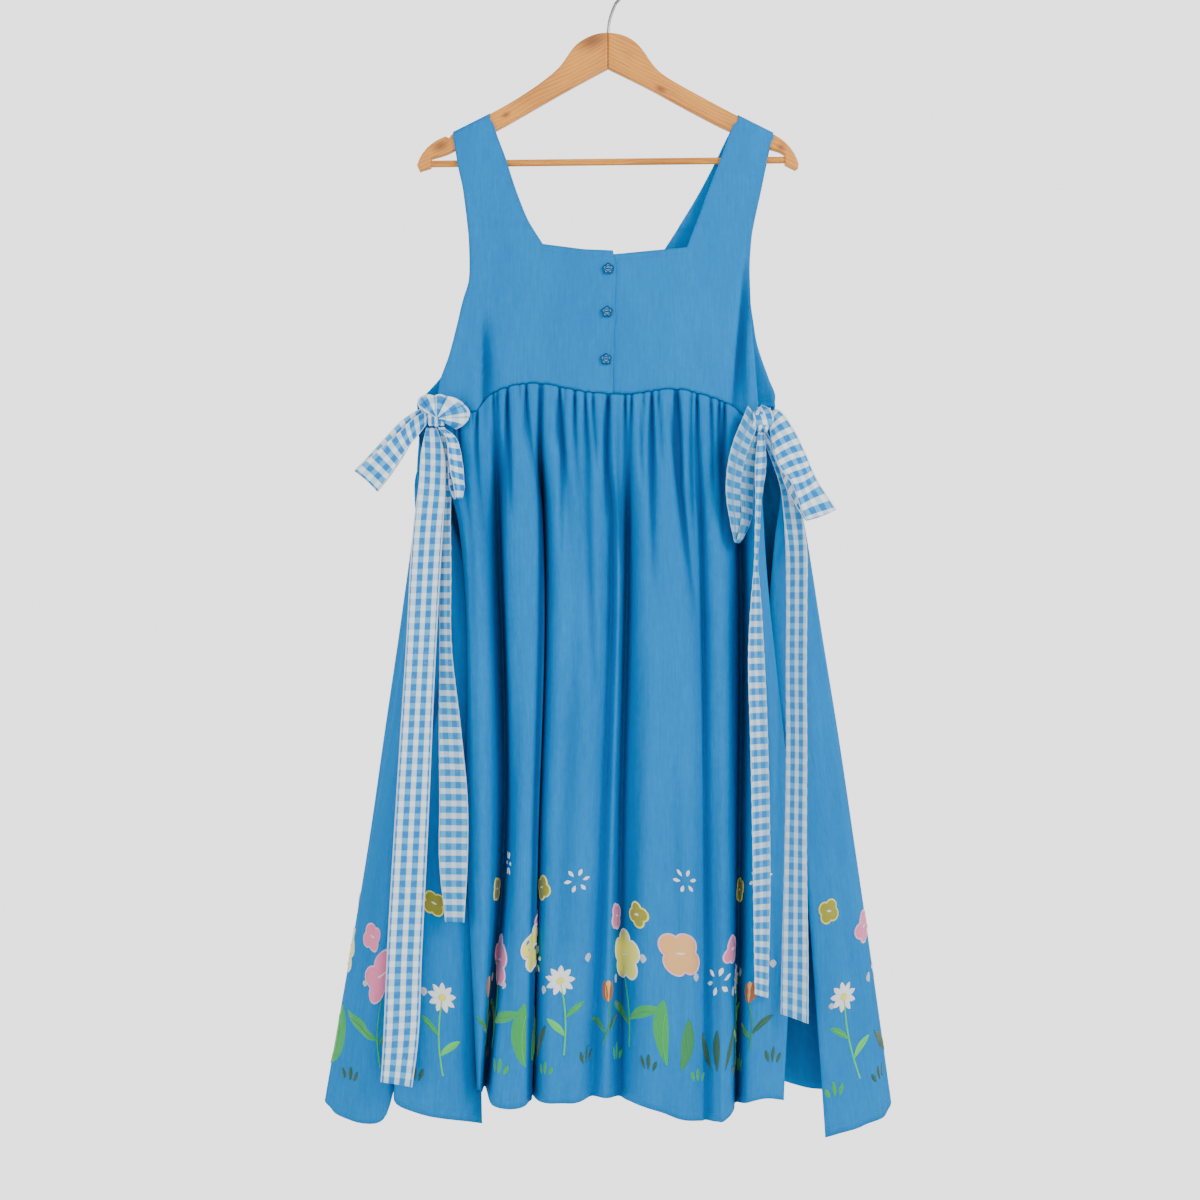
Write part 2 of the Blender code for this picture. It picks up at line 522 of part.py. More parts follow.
def front_skirt(left_bottom, right_bottom, look, group):
    seam_left, seam_right = FRONT_FOLDS[0][1], FRONT_FOLDS[-1][1]
    count = 2 * round((seam_right - seam_left) / GATHER_PITCH) + 1
    seats = np.linspace(seam_left, seam_right, count)
    waist_knots = [fold[1] for fold in FRONT_FOLDS]
    hem = through([(fold[1], fold[6]) for fold in FRONT_FOLDS], seats)
    seam = SEAM_GAP + np.maximum.reduce([lower_edge(left_bottom, right_bottom, seats + near)
                                         for near in (-1.5, 0.0, 1.5)])
    waist_level, hem_level = LEVELS[0][1], LEVELS[-1][1]
    rows = []
    for below in SKIRT_ROWS:
        share = below / SKIRT_ROWS[-1]
        drops = seam + (hem - seam) * share
        level = waist_level + (hem_level - waist_level) * share
        xs = [skirt_level(fold[1:5], level) for fold in FRONT_FOLDS]
        valley = float(through(FRONT_RELIEF, level, 1))
        ridge = float(through(FRONT_RELIEF, level, 2))
        ys = [valley + (ridge - valley) * fold[5] for fold in FRONT_FOLDS]
        x = through(list(zip(waist_knots, xs)), seats)
        y = through(list(zip(waist_knots, ys)), seats) - FRONT_SIDE_RECESS * (x / FRONT_HALF) ** 2
        top = front_depth(seats, seam)
        blend = float(smoothstep(below, 0.0, FRONT_BLEND))
        depth = top * (1 - blend) + y * blend + puff(below) + gather(count, below)
        x = seats * (1 - blend) + x * blend
        rows.append([point(*spot) for spot in zip(x, drops, -depth)])
    return sheet("front_skirt", rows, look, group, CLOTH_WALL)


def hidden_folds():
    """Ridges and valleys of the back skirt between its two sides, by the same rule as those that show."""
    first, last = BACK_LEFT_FOLDS[-1], BACK_RIGHT_FOLDS[0]
    folds = []
    total = 2 * BACK_HIDDEN_FOLDS + 1
    for index in range(1, total):
        share = index / total
        wander = 0.2 * math.sin(index * 2.1) / total
        angles = [first[k] + (last[k] - first[k]) * (share + wander) for k in range(1, 5)]
        angles[0] = first[1] + (last[1] - first[1]) * share
        relief = BACK_HIDDEN_RELIEF[index % 2] * (0.85 + 0.25 * math.cos(index * 1.3))
        folds.append(("back_%d" % index, *angles, relief, BACK_HIDDEN_HEM + 4.0 * math.sin(index * 1.9)))
    return folds


def back_skirt(look, group):
    folds = list(BACK_LEFT_FOLDS) + hidden_folds() + list(BACK_RIGHT_FOLDS)
    centre, _, half_width, _ = BACK_OVAL[0][1:]

    def seat_of(degrees):
        return centre + half_width * math.cos(math.radians(degrees))

    knots = [seat_of(fold[1]) for fold in folds]
    count = 2 * round((knots[-1] - knots[0]) / BACK_GATHER_PITCH) + 1
    seats = np.linspace(knots[0], knots[-1], count)
    # The gathers are half as deep near the side edges, which turn to the front
    outward = np.where(np.abs(seats - centre) < half_width * 0.93, 1.0, 0.5)
    hem = through([(knot, fold[6]) for knot, fold in zip(knots, folds)], seats)
    seam = back_seam(seats) + SEAM_GAP / 2
    waist_level, hem_level = LEVELS[0][1], LEVELS[-1][1]
    rows = []
    for below in SKIRT_ROWS:
        share = below / SKIRT_ROWS[-1]
        drops = seam + (hem - seam) * share
        level = waist_level + (hem_level - waist_level) * share
        turn = [skirt_level(fold[1:5], level) for fold in folds]
        angle = np.radians(through(list(zip(knots, turn)), seats))
        growth = float(through(BACK_GROWTH, level))
        relief = through([(knot, fold[5]) for knot, fold in zip(knots, folds)], seats) * growth
        cx, cy, a, b = (float(through(BACK_OVAL, level, column)) for column in (1, 2, 3, 4))
        x = cx + a * np.cos(angle) + relief * np.cos(angle)
        y = cy + b * np.sin(angle) + relief * np.sin(angle)
        blend = float(smoothstep(below, 0.0, BACK_BLEND))
        x = seats * (1 - blend) + x * blend
        y = back_depth(seats, seam) * (1 - blend) + y * blend
        y = y + outward * (puff(below) + gather(count, below))
        rows.append([point(*spot) for spot in zip(x, drops, y)])
    return sheet("back_skirt", rows, look, group, CLOTH_WALL)


def ribbon(name, stations, look, group, samples):
    """A strip of ribbon through its stations, each the places of its two edges, softly bowed across."""
    places = np.array(stations, float)
    middle = (places[:, :3] + places[:, 3:]) / 2
    run = np.concatenate([[0.0], np.cumsum(np.linalg.norm(np.diff(middle, axis=0), axis=1))])
    at = np.linspace(0.0, run[-1], samples)
    columns = [through(list(zip(run, places[:, k])), at) for k in range(6)]
    first = np.stack(columns[:3], axis=1)
    second = np.stack(columns[3:], axis=1)
    along = np.gradient((first + second) / 2, axis=0)
    normal = np.cross(second - first, along)
    normal /= np.linalg.norm(normal, axis=1)[:, None]
    rows = []
    for part, bow in ((0.0, 0.0), (0.5, 1.0), (1.0, 0.0)):
        line = first + (second - first) * part + normal * bow * RIBBON_WALL
        rows.append([point(x, drop, y) for x, drop, y in line])
    return sheet(name, rows, look, group, RIBBON_WALL)


def knot(name, core, fan, look, group, helpers):
    """A wrapped core, alone or joined to one body with a spread of pleats in front of it."""
    x, drop, y, width, height, depth, tilt = core
    block = bpy.data.objects.new(name if fan is None else name + "_core", bpy.data.meshes.new(name))
    build = bmesh.new()
    bmesh.ops.create_cube(build, size=1.0, matrix=Matrix.Diagonal((width * MM, depth * MM, height * MM, 1.0)))
    build.to_mesh(block.data)
    build.free()
    block.data.materials.append(look)
    block.location = point(x, drop, y)
    block.rotation_euler = (0.0, math.radians(tilt), 0.0)
    rounding = block.modifiers.new("Rounding", "BEVEL")
    rounding.width = KNOT_ROUNDING * MM
    rounding.segments = 2
    if fan is None:
        group.objects.link(block)
        return block
    helpers.objects.link(block)
    block.hide_render = True
    block.display_type = "WIRE"
    angles = np.linspace(fan[0][0], fan[-1][0], FAN_SPOKES + 1)
    reach = through(fan, angles)
    rows = []
    for share in FAN_SHARES:
        row = []
        for index, (angle, radius) in enumerate(zip(angles, reach)):
            turn = math.radians(angle)
            pleat = FAN_PLEAT * share * math.cos(index * math.pi / 2.0)
            dome = FAN_DOME * share**2.2 - depth / 2 - FAN_WALL * 0.3
            row.append(point(x + radius * share * math.cos(turn), drop - radius * share * math.sin(turn),
                             y + dome + pleat))
        rows.append(row)
    made = sheet(name, rows, look, group, FAN_WALL)
    join = made.modifiers.new("Core", "BOOLEAN")
    join.operation = "UNION"
    join.object = block
    return made


def outline_board(name, outline, look, group):
    """A flat board: the outline, smooth between its points, extruded to the wood's thickness and rounded."""
    curve = bpy.data.curves.new(name, "CURVE")
    curve.dimensions = "2D"
    curve.fill_mode = "BOTH"
    curve.extrude = WOOD_THICKNESS / 2 * MM
    spline = curve.splines.new("POLY")
    spline.points.add(len(outline) - 1)
    for spot, (x, drop) in zip(spline.points, outline):
        spot.co = (x * MM, -drop * MM, 0.0, 1.0)
    spline.use_cyclic_u = True
    curve.materials.append(look)
    made = bpy.data.objects.new(name, curve)
    made.rotation_euler = (math.radians(90.0), 0.0, 0.0)
    group.objects.link(made)
    weld = made.modifiers.new("Caps", "WELD")
    weld.merge_threshold = WELD_DISTANCE
    rounding = made.modifiers.new("Rounding", "BEVEL")
    rounding.width = WOOD_ROUNDING * MM
    rounding.segments = 3
    rounding.limit_method = "ANGLE"
    rounding.angle_limit = math.radians(60.0)
    rounding.use_clamp_overlap = False
    return made


def wire(name, spots, diameter, look, group):
    curve = bpy.data.curves.new(name, "CURVE")
    curve.dimensions = "3D"
    curve.bevel_depth = diameter / 2 * MM
    curve.bevel_resolution = 2
    curve.use_fill_caps = True
    spline = curve.splines.new("POLY")
    spline.points.add(len(spots) - 1)
    for spot, place in zip(spline.points, spots):
        spot.co = (*place, 1.0)
    curve.materials.append(look)
    made = bpy.data.objects.new(name, curve)
    group.objects.link(made)
    return made


def hook(look, group):
    """The round top, from its open tip on the left over to the right, then the stem into the wood."""
    centre_drop = HOOK_RADIUS - HOOK_WIRE / 2
    spots = [(HOOK_CENTRE_X + HOOK_RADIUS * math.cos(turn), centre_drop - HOOK_RADIUS * math.sin(turn))
             for turn in np.radians(np.linspace(*HOOK_TURNS, 17))]
    stem = [spots[-1], *HOOK_STEM]
    for drop in np.linspace(stem[0][1], stem[-1][1], 8)[1:]:
        spots.append((float(through([(b, a) for a, b in stem], drop)), float(drop)))
    return wire("hanger_hook", [point(x, drop, 0.0) for x, drop in spots], HOOK_WIRE, look, group)


def button(name, x, drop, look, group):
    """A five-petal button with two holes, seated on the placket and turned with it."""
    reach = BUTTON_RADIUS - 1.0
    tilt = math.atan2(float(front_depth(x, drop + reach) - front_depth(x, drop - reach)), 2 * reach)
    curve = bpy.data.curves.new(name, "CURVE")
    curve.dimensions = "2D"
    curve.fill_mode = "BOTH"
    curve.extrude = BUTTON_THICKNESS / 2 * MM
    outlines = [[]]
    for index in range(30):
        turn = math.tau * index / 30
        radius = BUTTON_RADIUS * (1.0 - BUTTON_PETAL + BUTTON_PETAL * math.cos(5 * turn))
        outlines[0].append((radius * math.sin(turn), radius * math.cos(turn)))
    for side in (-1, 1):
        outlines.append([(side * BUTTON_HOLE_OUT + BUTTON_HOLE_RADIUS * math.cos(math.tau * k / 6),
                          BUTTON_HOLE_RADIUS * math.sin(math.tau * k / 6)) for k in range(6)])
    for outline in outlines:
        spline = curve.splines.new("POLY")
        spline.points.add(len(outline) - 1)
        for spot, (a, b) in zip(spline.points, outline):
            spot.co = (a * MM, b * MM, 0.0, 1.0)
        spline.use_cyclic_u = True
    curve.materials.append(look)
    made = bpy.data.objects.new(name, curve)
    away = CLOTH_WALL / 2 + SEAM_GAP + BUTTON_THICKNESS / 2 + SEAT_CLEAR
    made.location = point(x, drop, -float(front_depth(x, drop)) - away)
    made.rotation_euler = (math.radians(90.0) - tilt, 0.0, 0.0)
    group.objects.link(made)
    weld = made.modifiers.new("Caps", "WELD")
    weld.merge_threshold = WELD_DISTANCE
    return made


def ties(side, look, group):
    """The two gathered tie ends that join the garment's corners to the back of the knot."""
    left = side < 0
    name = "left" if left else "right"
    x, drop, y, _, _, depth, _ = LEFT_KNOT if left else RIGHT_KNOT
    front_x, front_drop, back_x, back_drop, way = TIE_CORNERS[0 if left else 1]
    back_of_knot = y + depth / 2 + SEAM_GAP + RIBBON_WALL / 2 + SEAT_CLEAR
    lift = CLOTH_WALL / 2 + RIBBON_WALL / 2 + SEAM_GAP
    near = []
    far = []
    for spread in (-1.0, 1.0):
        at, low = front_x + 3.0 * spread, front_drop + 5.0 * spread
        near.extend((at, low, -float(front_depth(at, low)) - lift - TIE_CLEAR))
        at, low = back_x + 4.0 * spread, back_drop + 4.0 * spread
        far.extend((at, low, float(back_depth(at, low)) - lift - BACK_TIE_CLEAR))
    front = [near,
             (x - 4, drop - 8, y + depth / 2 + 5, x + 4, drop + 2, y + depth / 2 + 5),
             (x - 4, drop - 4, back_of_knot, x + 4, drop + 4, back_of_knot)]
    ribbon(name + "_tie_front", front, look, group, 7)
    way += x
    back = [far,
            (way - 3 + side * 4, drop - 16, -8, way + 3 + side * 4, drop - 8, -8),
            (way - 3, drop - 2, back_of_knot, way + 3, drop + 5, back_of_knot)]
    ribbon(name + "_tie_back", back, look, group, 9)


def main():
    clear_scene()
    group = bpy.data.collections.new("apron_dress_on_hanger")
    helpers = bpy.data.collections.new("cutters")
    bpy.context.scene.collection.children.link(group)
    bpy.context.scene.collection.children.link(helpers)
    dress = material("dress_cotton", DRESS_BLUE, 0.85)
    gingham = material("gingham_cotton", GINGHAM_BLUE, 0.85)
    wood = material("hanger_wood", WOOD_HONEY, 0.45)
    steel = material("hook_steel", STEEL_GREY, 0.25, 1.0)
    shell = material("button_plastic", BUTTON_BLUE, 0.3)

    left_bottom = front_half("front_bodice_left", True, dress, group)
    right_bottom = front_half("front_bodice_right", False, dress, group)
    back_bodice(dress, group)
    front_skirt(left_bottom, right_bottom, dress, group)
    back_skirt(dress, group)
    for number, (x, drop) in enumerate(BUTTON_PLACES, start=1):
        button("button_%d" % number, x, drop, shell, group)

    ribbon("left_tail_long", LEFT_TAIL_LONG, gingham, group, 24)
    ribbon("left_tail_short", LEFT_TAIL_SHORT, gingham, group, 20)
    ribbon("left_loop_large", LEFT_LOOP_LARGE, gingham, group, 26)
    ribbon("left_loop_hanging", LEFT_LOOP_HANGING, gingham, group, 26)
    ribbon("right_tail_long", RIGHT_TAIL_LONG, gingham, group, 24)
    ribbon("right_tail_short", RIGHT_TAIL_SHORT, gingham, group, 22)
    ribbon("right_loop_large", RIGHT_LOOP_LARGE, gingham, group, 28)
    ribbon("right_loop_hanging", RIGHT_LOOP_HANGING, gingham, group, 28)
    knot("left_knot", LEFT_KNOT, LEFT_FAN, gingham, group, helpers)
    knot("right_knot", RIGHT_KNOT, None, gingham, group, helpers)
    ties(-1, gingham, group)
    ties(1, gingham, group)

    outline_board("hanger_arm_left", LEFT_ARM, wood, group)
    outline_board("hanger_arm_right", RIGHT_ARM, wood, group)
    bar = [point(x, drop, 0.0) for x, drop in BAR_ENDS]
    wire("hanger_bar", bar, BAR_DIAMETER, wood, group)
    hook(steel, group)


main()
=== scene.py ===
"""Looks of the apron dress on its wooden hanger.

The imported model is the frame, in metres: x to the viewer's right, y away, z up, and the origin at the
inner top of the hook. Tables and lengths below are in millimetres: x, y, and drop, the distance below
the hook's inner top. Cloth is laid out in flat millimetres: along the hem, and height above it.
"""

import json
import math

import bpy
import numpy as np
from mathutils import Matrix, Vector

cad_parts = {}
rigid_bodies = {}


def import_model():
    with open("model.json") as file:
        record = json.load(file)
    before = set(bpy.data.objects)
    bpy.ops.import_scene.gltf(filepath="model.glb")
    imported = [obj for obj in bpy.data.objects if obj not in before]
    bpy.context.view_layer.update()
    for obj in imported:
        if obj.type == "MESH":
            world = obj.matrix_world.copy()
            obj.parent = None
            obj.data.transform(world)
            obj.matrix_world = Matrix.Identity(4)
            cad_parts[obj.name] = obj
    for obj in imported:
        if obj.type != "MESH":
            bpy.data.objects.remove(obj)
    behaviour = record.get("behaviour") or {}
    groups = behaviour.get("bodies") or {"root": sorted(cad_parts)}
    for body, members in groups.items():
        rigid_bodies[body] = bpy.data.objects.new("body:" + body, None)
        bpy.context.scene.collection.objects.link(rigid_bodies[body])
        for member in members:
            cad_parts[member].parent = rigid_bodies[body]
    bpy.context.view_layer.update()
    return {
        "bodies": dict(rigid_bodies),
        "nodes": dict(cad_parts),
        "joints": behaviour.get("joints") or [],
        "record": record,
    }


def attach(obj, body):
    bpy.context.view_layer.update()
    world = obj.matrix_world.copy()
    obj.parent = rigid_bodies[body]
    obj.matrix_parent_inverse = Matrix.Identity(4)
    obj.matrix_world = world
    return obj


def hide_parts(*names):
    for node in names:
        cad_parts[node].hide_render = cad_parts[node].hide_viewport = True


MM = 0.001

# Walls of the solids, the gap between sewn pieces and the further gap under buttons and knots
CLOTH_WALL = 1.5
RIBBON_WALL = 1.2
SEAM_GAP = 0.3
SEAT_CLEAR = 0.1
# Bend of the straps over the hanger: radius, drop of its middle, and how square it is
STRAP_BEND_RADIUS = 7.65
STRAP_BEND_DROP = 6.4
STRAP_BEND_SQUARENESS = 0.75
# Directions at which the bend has its rows, in degrees from straight up
STRAP_BEND_TURNS = (0.6, 10.0, 24.0, 46.0, 68.0, 90.0)
BAR_DIAMETER = 8.0
# Buttons: size, places (x, drop), distance of the holes from the middle, and depth of the petals' waves
BUTTON_RADIUS = 7.0
BUTTON_THICKNESS = 2.6
BUTTON_PLACES = ((-1.0, 351.0), (-2.4, 401.3), (-3.6, 456.3))
BUTTON_HOLE_OUT = 1.7
BUTTON_PETAL = 0.12
# Raised rings on a button: radius, waviness, thickness; and its threads: heights and radius
BUTTON_RINGS = ((BUTTON_RADIUS - 0.9, BUTTON_PETAL, 0.75), (3.2, 0.0, 0.45))
BUTTON_THREADS, BUTTON_THREAD_RADIUS = (-0.35, 0.35), 0.25
# Swell of the skirt under the waist seam: how far out and how far down
PUFF = 3.0
PUFF_LENGTH = 60.0
# How far below the seam the skirt's own folds have fully taken over from the bodice's form
FRONT_BLEND = 141.0
BACK_BLEND = 100.0

# Middle and half width of the bodice's front and back, and the drop below which they bulge
FRONT_MIDDLE, FRONT_HALF = -11.0, 187.0
BACK_MIDDLE, BACK_HALF = -15.0, 208.5
BULGE_TOP = 300.0
# Where the folds at the front's sides begin and are full, and each one's x, width and depth
SIDE_FOLDS_FROM, SIDE_FOLDS_TO = 380.0, 495.0
TUCK_X, TUCK_STEP, TUCK_RUN, TUCK_DEPTH = -145.0, 8.0, 20.0, 7.0
LEDGE_X, LEDGE_WIDTH, LEDGE_HEIGHT = -156.0, 10.0, 3.0
TURNED_X, TURNED_WIDTH, TURNED_DEPTH = 154.0, 8.0, 6.0
# Drop of the back's top edge, of its waist seam in the middle, and how far the seam drops at the sides
BACK_NECK = 338.4
BACK_SEAM = 495.0
BACK_SEAM_SAG = 8.0
BACK_SIDE_FOOT = 503.4
# Drop of the arms' upper edge at one x, its slope, and how much higher the right arm lies
ARM_TOP_DROP, ARM_TOP_X, ARM_SLOPE, RIGHT_ARM_RISE = 169.2, 138.7, 0.5, 4.0
# Meshes of the cloth: columns over a strap and beside it, rows down a strap and down the bodice
FRONT_STRAP_COLUMNS, FRONT_MIDDLE_COLUMNS = 31, 37
FRONT_STRAP_ROWS, FRONT_ROWS = 36, 46
BACK_STRAP_COLUMNS, BACK_MIDDLE_COLUMNS = 27, 42
BACK_STRAP_ROWS, BACK_ROWS = 38, 44

# Levels of the skirt at which its folds are laid out: waist, hip, mid and hem
LEVELS = (500.0, 641.0, 1032.0, 1305.0)
# How far the skirt's last level lies below the waist seam
SKIRT_LENGTH = 810.0
# Rows of the skirt's mesh: close together under the seam, wider further down
CLOSE_ROWS_TO, CLOSE_ROW, WIDER_ROWS_TO, WIDER_ROW, LAST_ROWS = 60.0, 2.5, 200.0, 6.0, 70

# Outer edge of the front, from the strap's top round the armhole to the tie: drop, x
LEFT_SIDE = ((190.8, -181.3), (229.6, -175.7), (258.6, -169.4), (293.3, -164.7), (328.1, -161.8),
             (362.9, -162.4), (386.1, -169.4), (415.1, -176.3), (449.9, -185.6), (484.7, -197.5),
             (510.0, -199.0))
RIGHT_SIDE = ((192.5, 190.8), (218.0, 184.3), (257.4, 176.8), (275.9, 171.6), (310.7, 165.8),
              (345.5, 163.4), (374.5, 164.0), (415.1, 165.8), (455.7, 169.2), (519.0, 174.3))
# Inner edge of each strap: drop, x
LEFT_STRAP = ((169.7, -138.4), (196.0, -129.2), (220.5, -120.0), (247.0, -111.6), (268.0, -104.2),
              (295.8, -92.4), (321.5, -76.6))
RIGHT_STRAP = ((170.4, 149.9), (194.8, 139.1), (223.8, 128.7), (247.0, 119.4), (281.7, 106.6),
               (325.0, 90.3))
# Outer edges of the back, and the inner edges of its straps: drop, x
BACK_LEFT_SIDE = ((190.8, -181.3), (254.1, -170.8), (324.4, -163.8), (359.5, -164.4), (388.7, -170.8),
                  (418.0, -177.9), (449.6, -186.1), (473.0, -196.6), (485.9, -207.1), (503.4, -223.5))
BACK_RIGHT_SIDE = ((192.5, 190.8), (253.0, 178.5), (306.8, 167.4), (341.9, 163.9), (377.0, 165.1),
                   (412.1, 169.7), (433.2, 173.2), (453.1, 179.1), (476.5, 187.3), (497.6, 194.0),
                   (503.4, 193.5))
BACK_RIGHT_STRAP = ((170.4, 149.9), (195.6, 137.0), (222.5, 124.1), (262.3, 103.0), (295.1, 83.1),
                    (338.4, 55.0))
BACK_LEFT_STRAP = LEFT_STRAP[:4] + ((279.4, -100.0), (338.4, -70.0))
# Top edge of the front between the straps: x, drop
LEFT_NECK = ((-165.0, 318.0), (-76.6, 321.5), (-30.2, 327.6), (9.0, 329.5))
RIGHT_NECK = ((-20.0, 334.5), (4.6, 333.4), (90.3, 325.3), (165.0, 322.0))
# Outer edge, inner edge of the strap and top edge of the front's left half and of its right half
HALF_OUTLINES = ((LEFT_SIDE, LEFT_STRAP, LEFT_NECK), (RIGHT_SIDE, RIGHT_STRAP, RIGHT_NECK))
# Waist seam of the front: x, drop
FRONT_SEAM = ((-199.0, 512.5), (-161.5, 516.4), (-153.0, 513.5), (-143.5, 501.0), (-116.8, 486.8),
              (-96.0, 483.3), (-22.1, 493.7), (23.0, 496.0), (68.0, 489.8), (85.4, 490.3),
              (105.0, 494.9), (143.1, 508.7), (163.9, 522.5), (176.0, 519.5))
# Edge of the upper half at the buttons (drop, x), how far the lower half goes on under it, and its foot
PLACKET_EDGE = ((329.0, 4.5), (346.7, 8.0), (394.1, 6.8), (404.5, 8.0), (419.6, 5.7), (496.0, 4.1))
PLACKET_LAP = 26.0
PLACKET_FOOT = 490.0
# Where the right half comes forward again beside the lap
LAP_FROM, LAP_TO = 12.0, 60.0

# Depth of the bodice at each height: drop, at the side edges, more at the centre
FRONT_DEPTH = ((176.0, 7.65, 0.0), (235.0, 7.65, 0.0), (320.0, 10.5, 5.0), (420.0, 11.0, 12.0),
               (500.0, 6.5, 20.0), (530.0, 6.5, 20.0))
BACK_DEPTH = ((176.0, 7.65, 0.0), (235.0, 7.65, 0.0), (320.0, 10.0, 5.0), (420.0, 9.0, 11.0),
              (500.0, 4.0, 20.0), (530.0, 4.0, 20.0))

# Depth of the front skirt's valleys and ridges, in front of the hanger's middle plane: level, valley, ridge
FRONT_RELIEF = ((500.0, 0.0, 0.0), (641.0, 10.0, 42.0), (1032.0, 20.0, 58.0), (1305.0, 28.0, 66.0))
# How much further back the front skirt lies at its sides
FRONT_SIDE_RECESS = 9.0
# Folds of the front skirt, left to right:
# name, x at waist, hip, mid and hem, relief from valley 0 to ridge 1, drop of the hem
FRONT_FOLDS = (
    ("left_edge", -199, -173, -163, -151, 0.55, 1295),
    ("narrow_ridge_left", -178, -164, -154, -148, 0.95, 1293),
    ("narrow_ridge_right", -157, -146, -137, -146, 0.85, 1297),
    ("deep_valley", -135, -129, -122, -143, 0.00, 1299),
    ("second_ridge_left", -120, -118, -110, -133, 0.90, 1309),
    ("second_ridge_right", -101, -88, -90, -101, 1.00, 1311),
    ("second_ridge_lip", -92, -78, -82, -89, 0.75, 1306),
    ("lapped_valley", -84, -79, -86, -91, 0.05, 1306),
    ("broad_ridge_left", -72, -66, -73, -78, 0.75, 1306),
    ("broad_ridge_middle", -46, -38, -45, -54, 0.92, 1306),
    ("broad_ridge_right", -17, -12, -21, -33, 0.80, 1305),
    ("shallow_valley", -4, 2, -8, -20, 0.45, 1302),
    ("small_ridge", 8, 11, 3, -4, 0.80, 1301),
    ("middle_valley", 21, 22, 14, 13, 0.25, 1305),
    ("full_ridge_left", 34, 35, 31, 35, 0.85, 1309),
    ("full_ridge_middle", 59, 63, 62, 60, 1.00, 1316),
    ("full_ridge_right", 86, 90, 96, 90, 0.92, 1326),
    ("crease", 98, 104, 110, 110, 0.62, 1329),
    ("fourth_ridge_left", 108, 112, 118, 121, 0.86, 1328),
    ("fourth_ridge_right", 130, 134, 136, 134, 0.88, 1325),
    ("fourth_ridge_lip", 138, 141, 143, 143, 0.60, 1319),
    ("black_valley", 146, 152, 151, 146, 0.00, 1317),
    ("last_ridge_left", 156, 161, 163, 156, 0.70, 1309),
    ("last_ridge_right", 166, 171, 187, 178, 0.84, 1303),
    ("right_edge", 176, 179, 211, 200, 0.62, 1307),
)

# Oval that the back skirt follows at each level: level, centre x, centre y, half width, half depth
BACK_OVAL = ((500.0, -15.0, 4.0, 208.5, 20.0), (641.0, 0.0, 6.0, 226.0, 38.0),
             (1032.0, 3.0, 4.0, 285.0, 50.0), (1305.0, -1.0, 4.0, 329.0, 58.0))
# How much of a fold's relief there is at each level
BACK_GROWTH = ((500.0, 0.0), (641.0, 0.5), (1032.0, 0.85), (1305.0, 1.0))
# Folds of the back skirt that show, by their direction round the oval in degrees (0 is right, 90 the
# back, 180 left): name, waist, hip, mid, hem, relief outwards, drop of the hem
BACK_LEFT_FOLDS = (
    ("left_edge", 180, 214, 235, 242, -18, 1337),
    ("left_ridge", 167.8, 208, 226, 232, 10, 1323),
    ("left_ridge_side", 162.6, 203, 217, 222.6, 3, 1312),
    ("left_valley", 158.7, 200, 212, 218.2, -15, 1293),
    ("left_flank_edge", 155.4, 197, 208, 219.4, 4, 1329),
    ("left_flank", 150.5, 191, 200, 206, 5, 1334),
    ("left_outer", 144.9, 182, 183, 183, 0, 1315),
)
BACK_RIGHT_FOLDS = (
    ("right_outer", 31, 1, 0, 0, 0, 1312),
    ("right_flank", 16, -16, -21, -22, 2, 1338),
    ("right_edge", 0, -31, -38, -41, 0, 1352),
)
# Folds between those: how many, their relief inwards and outwards, and the drop of the hem
BACK_HIDDEN_FOLDS = 6
BACK_HIDDEN_RELIEF = (-16.0, 9.0)
BACK_HIDDEN_HEM = 1309.0

# Gingham ribbons: one row for each station along the ribbon, x, drop, y of one edge and of the other
LEFT_TAIL_LONG = (
    (-211, 535, -24, -199, 535, -24), (-216, 560, -30, -190, 562, -32), (-219, 600, -34, -188, 603, -37),
    (-224, 642, -38, -190, 642, -40), (-233, 792, -46, -198, 792, -48), (-246, 1008, -56, -207, 1008, -56),
    (-253, 1134, -60, -213, 1134, -60), (-258, 1252, -63, -219, 1252, -63),
    (-260, 1282, -63, -224, 1288, -63),
)
LEFT_TAIL_SHORT = (
    (-197, 534.4, -25, -190, 534.4, -25), (-197, 565, -24, -183, 567, -24), (-197, 600, -24, -182, 602, -25),
    (-197, 642, -26, -182, 642, -38), (-196, 700, -32, -181, 700, -50), (-195, 781, -38, -180, 781, -56),
    (-195, 879, -47, -169, 879, -58), (-194, 966, -52, -161, 966, -58), (-194, 1030, -56, -161, 1030, -60),
    (-187, 1101, -57, -165, 1101, -61),
)
LEFT_LOOP_LARGE = (
    (-211, 516, -24, -211, 532, -24), (-222, 521, -21, -219, 542, -22), (-242, 541, -34, -232, 560, -35),
    (-262, 560, -42, -244, 580, -42), (-283, 577, -41, -258, 600, -41), (-293, 585, -35, -266, 610, -35),
    (-284, 575, -28, -257, 598, -28), (-261, 549, -23, -240, 573, -23), (-236, 523, -18, -226, 549, -18),
    (-214.5, 510, -16, -213.5, 532, -16),
)
LEFT_LOOP_HANGING = (
    (-197, 535, -29, -191, 535, -30), (-187, 548, -38, -176, 548, -32), (-184, 566, -44, -170, 568, -34),
    (-181, 590, -47, -167, 594, -34), (-177, 609, -45, -167, 609, -32), (-177, 618, -42, -170, 618, -30),
    (-182, 608, -40, -176, 607, -28), (-184, 590, -38, -180, 590, -27), (-185, 565, -36, -182, 565, -27),
    (-187, 548, -33, -185, 548, -28),
)
